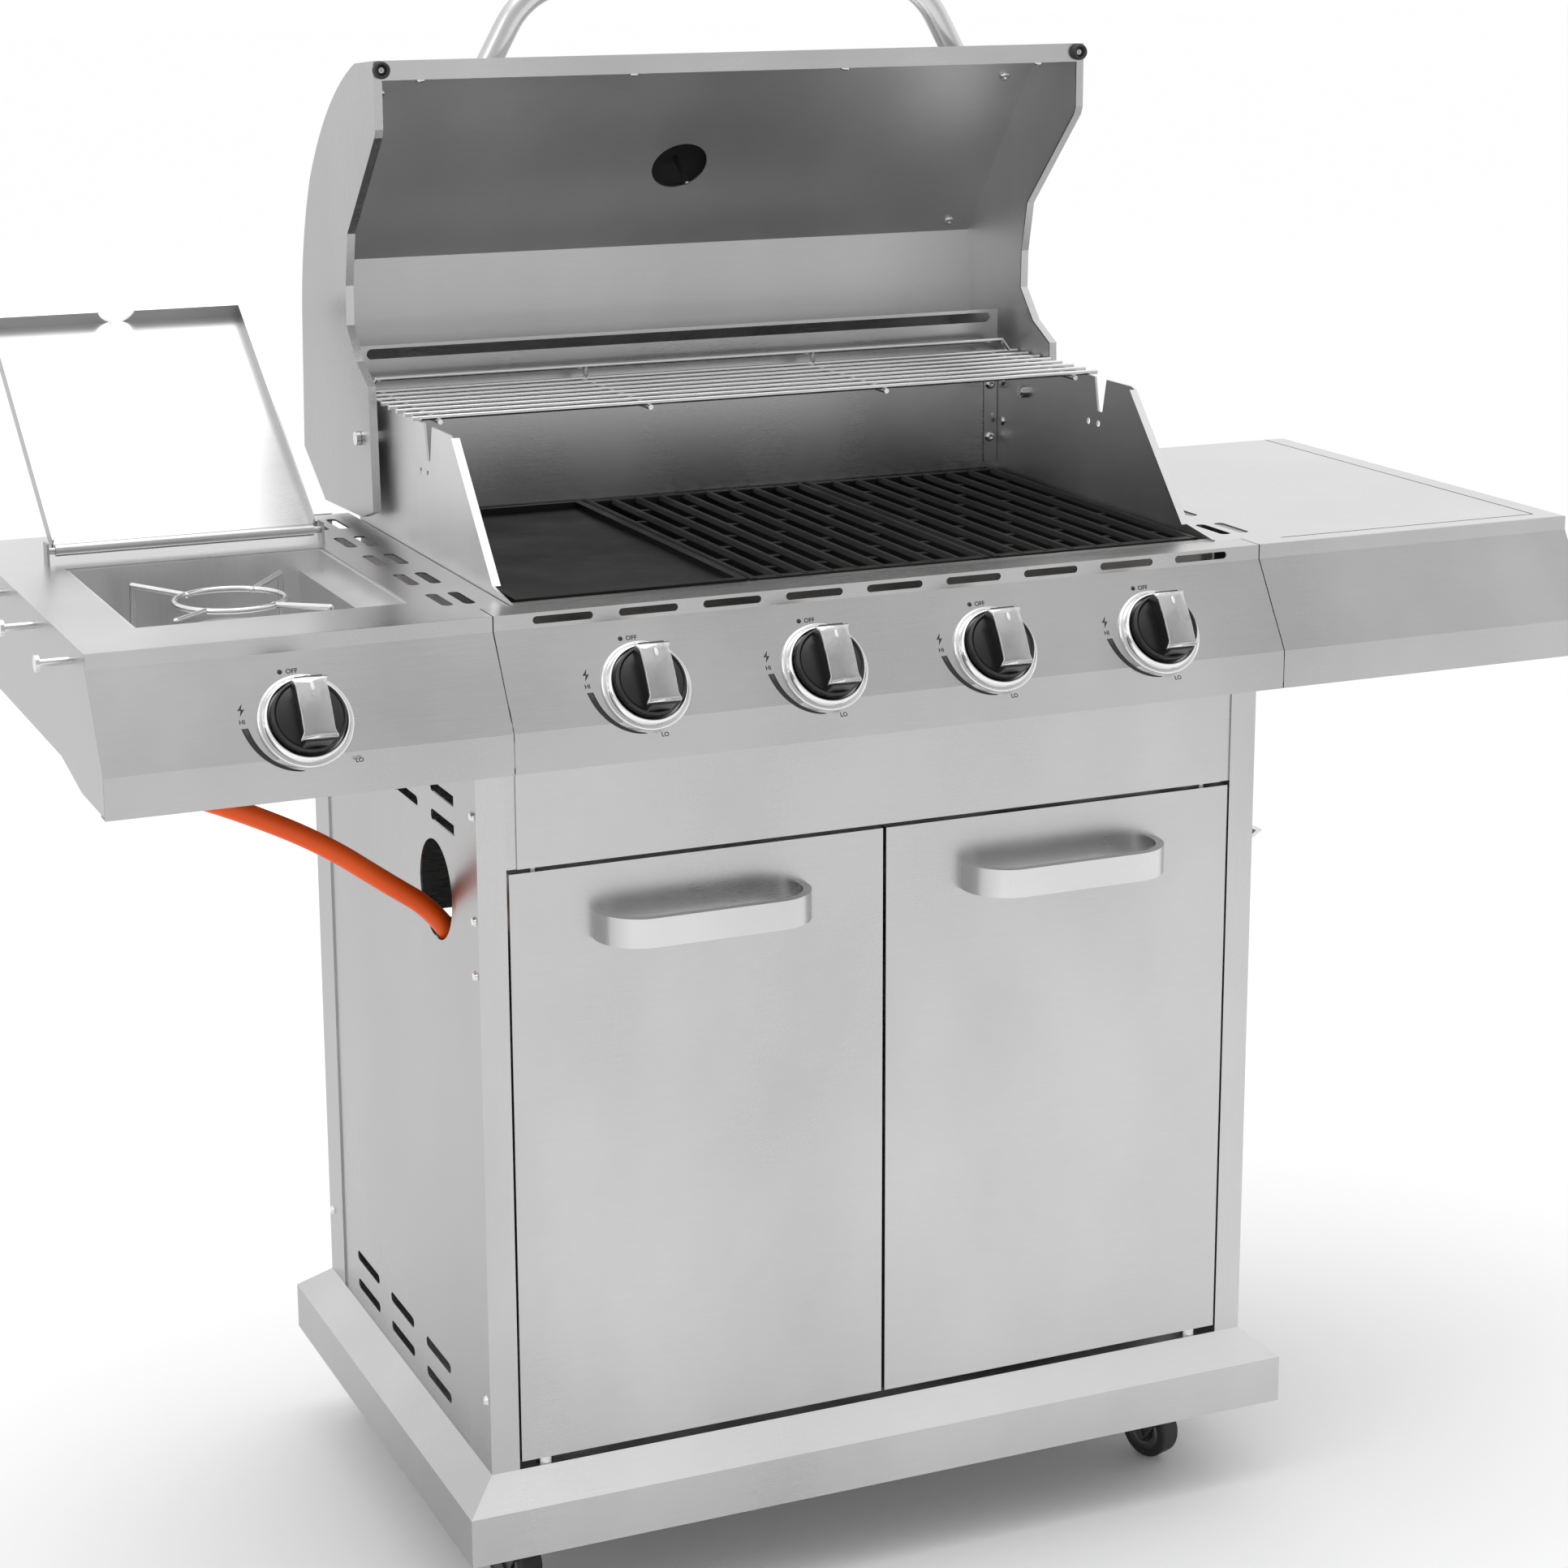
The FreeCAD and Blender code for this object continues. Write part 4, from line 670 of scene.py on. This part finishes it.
# wheel hubs
for wheel in [n for n in nodes if n.startswith("caster_wheel")]:
    joint = joints["wheel_spin_" + wheel[len("caster_wheel_"):]]
    hub = facing(Vector(joint["pos_m"]), joint["axis"], Vector((0, 0, 1)))
    side_cap = [(17.0, 10.4), (17.0, 10.9), (13.5, 11.3), (10.0, 10.9), (9.6, 10.4)]
    caps = [revolved(side_cap, 40), moved(revolved(side_cap, 40), Matrix.Rotation(math.pi, 4, "X"))]
    add_piece("hub_" + wheel, joined(caps), fork_steel, joint["child"], hub)


# ---- Grates ---------------------------------------------------------------------------------
RIM = 9.0
BAR = 9.0
RIB = 7.0
BAR_SLANT = (2.6, 3.4)           # how far the bars' top edges are cut back, inwards and down
RIB_DROP = 4.2                   # ribs' tops below the bars'
GRATE_LOW = 843.0
GRATE_HIGH = 855.0
GRATE_Y = (25.0, 407.0)


def bar_along_y(x, y0, y1, top):
    """Cast bar whose top edges are cut back at a slant."""
    half = BAR / 2
    inwards, down = BAR_SLANT
    mesh = prism([(x - half, GRATE_LOW), (x + half, GRATE_LOW), (x + half, top - down),
                  (x + half - inwards, top), (x - half + inwards, top), (x - half, top - down)], -y1, -y0)
    return moved(mesh, Matrix.Translation(CART) @ Matrix.Rotation(math.pi / 2, 4, "X"))


def grate_pieces(x0, x1, columns):
    """Rim, full-height bars and lower staggered ribs, on the CAD grate's plan."""
    y0, y1 = GRATE_Y
    gap = (x1 - x0 - 2 * RIM - BAR * (columns - 1)) / columns
    pieces = [bar_along_y(x0 + BAR / 2, y0, y1, GRATE_HIGH), bar_along_y(x1 - BAR / 2, y0, y1, GRATE_HIGH),
              box_mesh((x0 + 1, y0, GRATE_LOW), (x1 - 1, y0 + RIM, GRATE_HIGH - 0.6)),
              box_mesh((x0 + 1, y1 - RIM, GRATE_LOW), (x1 - 1, y1, GRATE_HIGH - 0.6))]
    low, high = y0 + RIM, y1 - RIM
    length = (high - low - 3 * RIB) / 4
    for column in range(columns):
        left = x0 + RIM + column * (gap + BAR)
        if column:
            pieces.append(bar_along_y(left - BAR / 2, y0 + 2, y1 - 2, GRATE_HIGH))
        start = low if column % 2 == 0 else low - length / 2
        while start + length < high - RIB:
            rib = start + length
            pieces.append(box_mesh((left - 1, rib, GRATE_LOW + 1),
                                   (left + gap + 1, rib + RIB, GRATE_HIGH - RIB_DROP)))
            start += length + RIB
    return joined(pieces)


for name, columns in (("grate_middle", 9), ("grate_right", 8)):
    low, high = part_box(name)
    x0, x1 = ((value.x - CART.x) / MM for value in (low, high))
    cast = add_piece(name + "_cast", grate_pieces(x0, x1, columns), cast_iron, body_of_node[name])
    rounded(cast, 0.7, 2)
    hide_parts(name)


# ---- Stage and light --------------------------------------------------------------------
FLOOR_REACH = 30.0


def stage_plane(name, corners, material):
    mesh = bmesh.new()
    mesh.faces.new([mesh.verts.new(c) for c in corners])
    data = bpy.data.meshes.new(name)
    mesh.to_mesh(data)
    mesh.free()
    data.materials.append(material)
    plane = bpy.data.objects.new(name, data)
    bpy.context.scene.collection.objects.link(plane)
    return plane


def floor_material():
    material, _, shader = new_material("floor_pale")
    shader.inputs["Base Color"].default_value = (0.86, 0.86, 0.86, 1.0)
    shader.inputs["Roughness"].default_value = 0.9
    shader.inputs["Specular IOR Level"].default_value = 0.1
    return material


stage_plane("floor", [(-FLOOR_REACH, -FLOOR_REACH, 0), (FLOOR_REACH, -FLOOR_REACH, 0),
                      (FLOOR_REACH, FLOOR_REACH, 0), (-FLOOR_REACH, FLOOR_REACH, 0)], floor_material())


def area_light(name, place, target, width, height, power):
    data = bpy.data.lights.new(name, "AREA")
    data.shape = "RECTANGLE"
    data.size = width
    data.size_y = height
    data.energy = power
    light = bpy.data.objects.new(name, data)
    bpy.context.scene.collection.objects.link(light)
    light.location = place
    light.rotation_mode = "QUATERNION"
    light.rotation_quaternion = (Vector(target) - Vector(place)).to_track_quat("-Z", "Y")
    return light


TARGET = at(0, 200, 700)
TOP_WATTS = 22
LEFT_WATTS = 8
area_light("softbox_top", at(-200, 300, 3400), TARGET, 2.6, 2.0, TOP_WATTS)
area_light("softbox_left", at(-2600, -600, 2300), TARGET, 1.0, 1.8, LEFT_WATTS)

# white studio that is dimmer on the side the front faces look at, and brightest overhead
SKY_BACK = 1.15
SKY_FRONT = 0.62
SKY_TOP = 0.45
world = bpy.data.worlds.new("studio")
bpy.context.scene.world = world
world.use_nodes = True
sky = world.node_tree
direction = sky.nodes.new("ShaderNodeTexCoord").outputs["Generated"]
split = sky.nodes.new("ShaderNodeSeparateXYZ")
sky.links.new(direction, split.inputs["Vector"])
toward_front = between(sky, split.outputs["Y"], SKY_FRONT, SKY_BACK, -0.85, 0.0)
overhead = between(sky, split.outputs["Z"], 0.0, SKY_TOP, 0.72, 0.95)
brightness = combined(sky, "ADD", toward_front, overhead)
sky.nodes["Background"].inputs["Color"].default_value = (1.0, 1.0, 1.0, 1.0)
sky.links.new(brightness, sky.nodes["Background"].inputs["Strength"])
bpy.context.scene.view_settings.view_transform = "Standard"
bpy.context.scene.view_settings.look = "None"
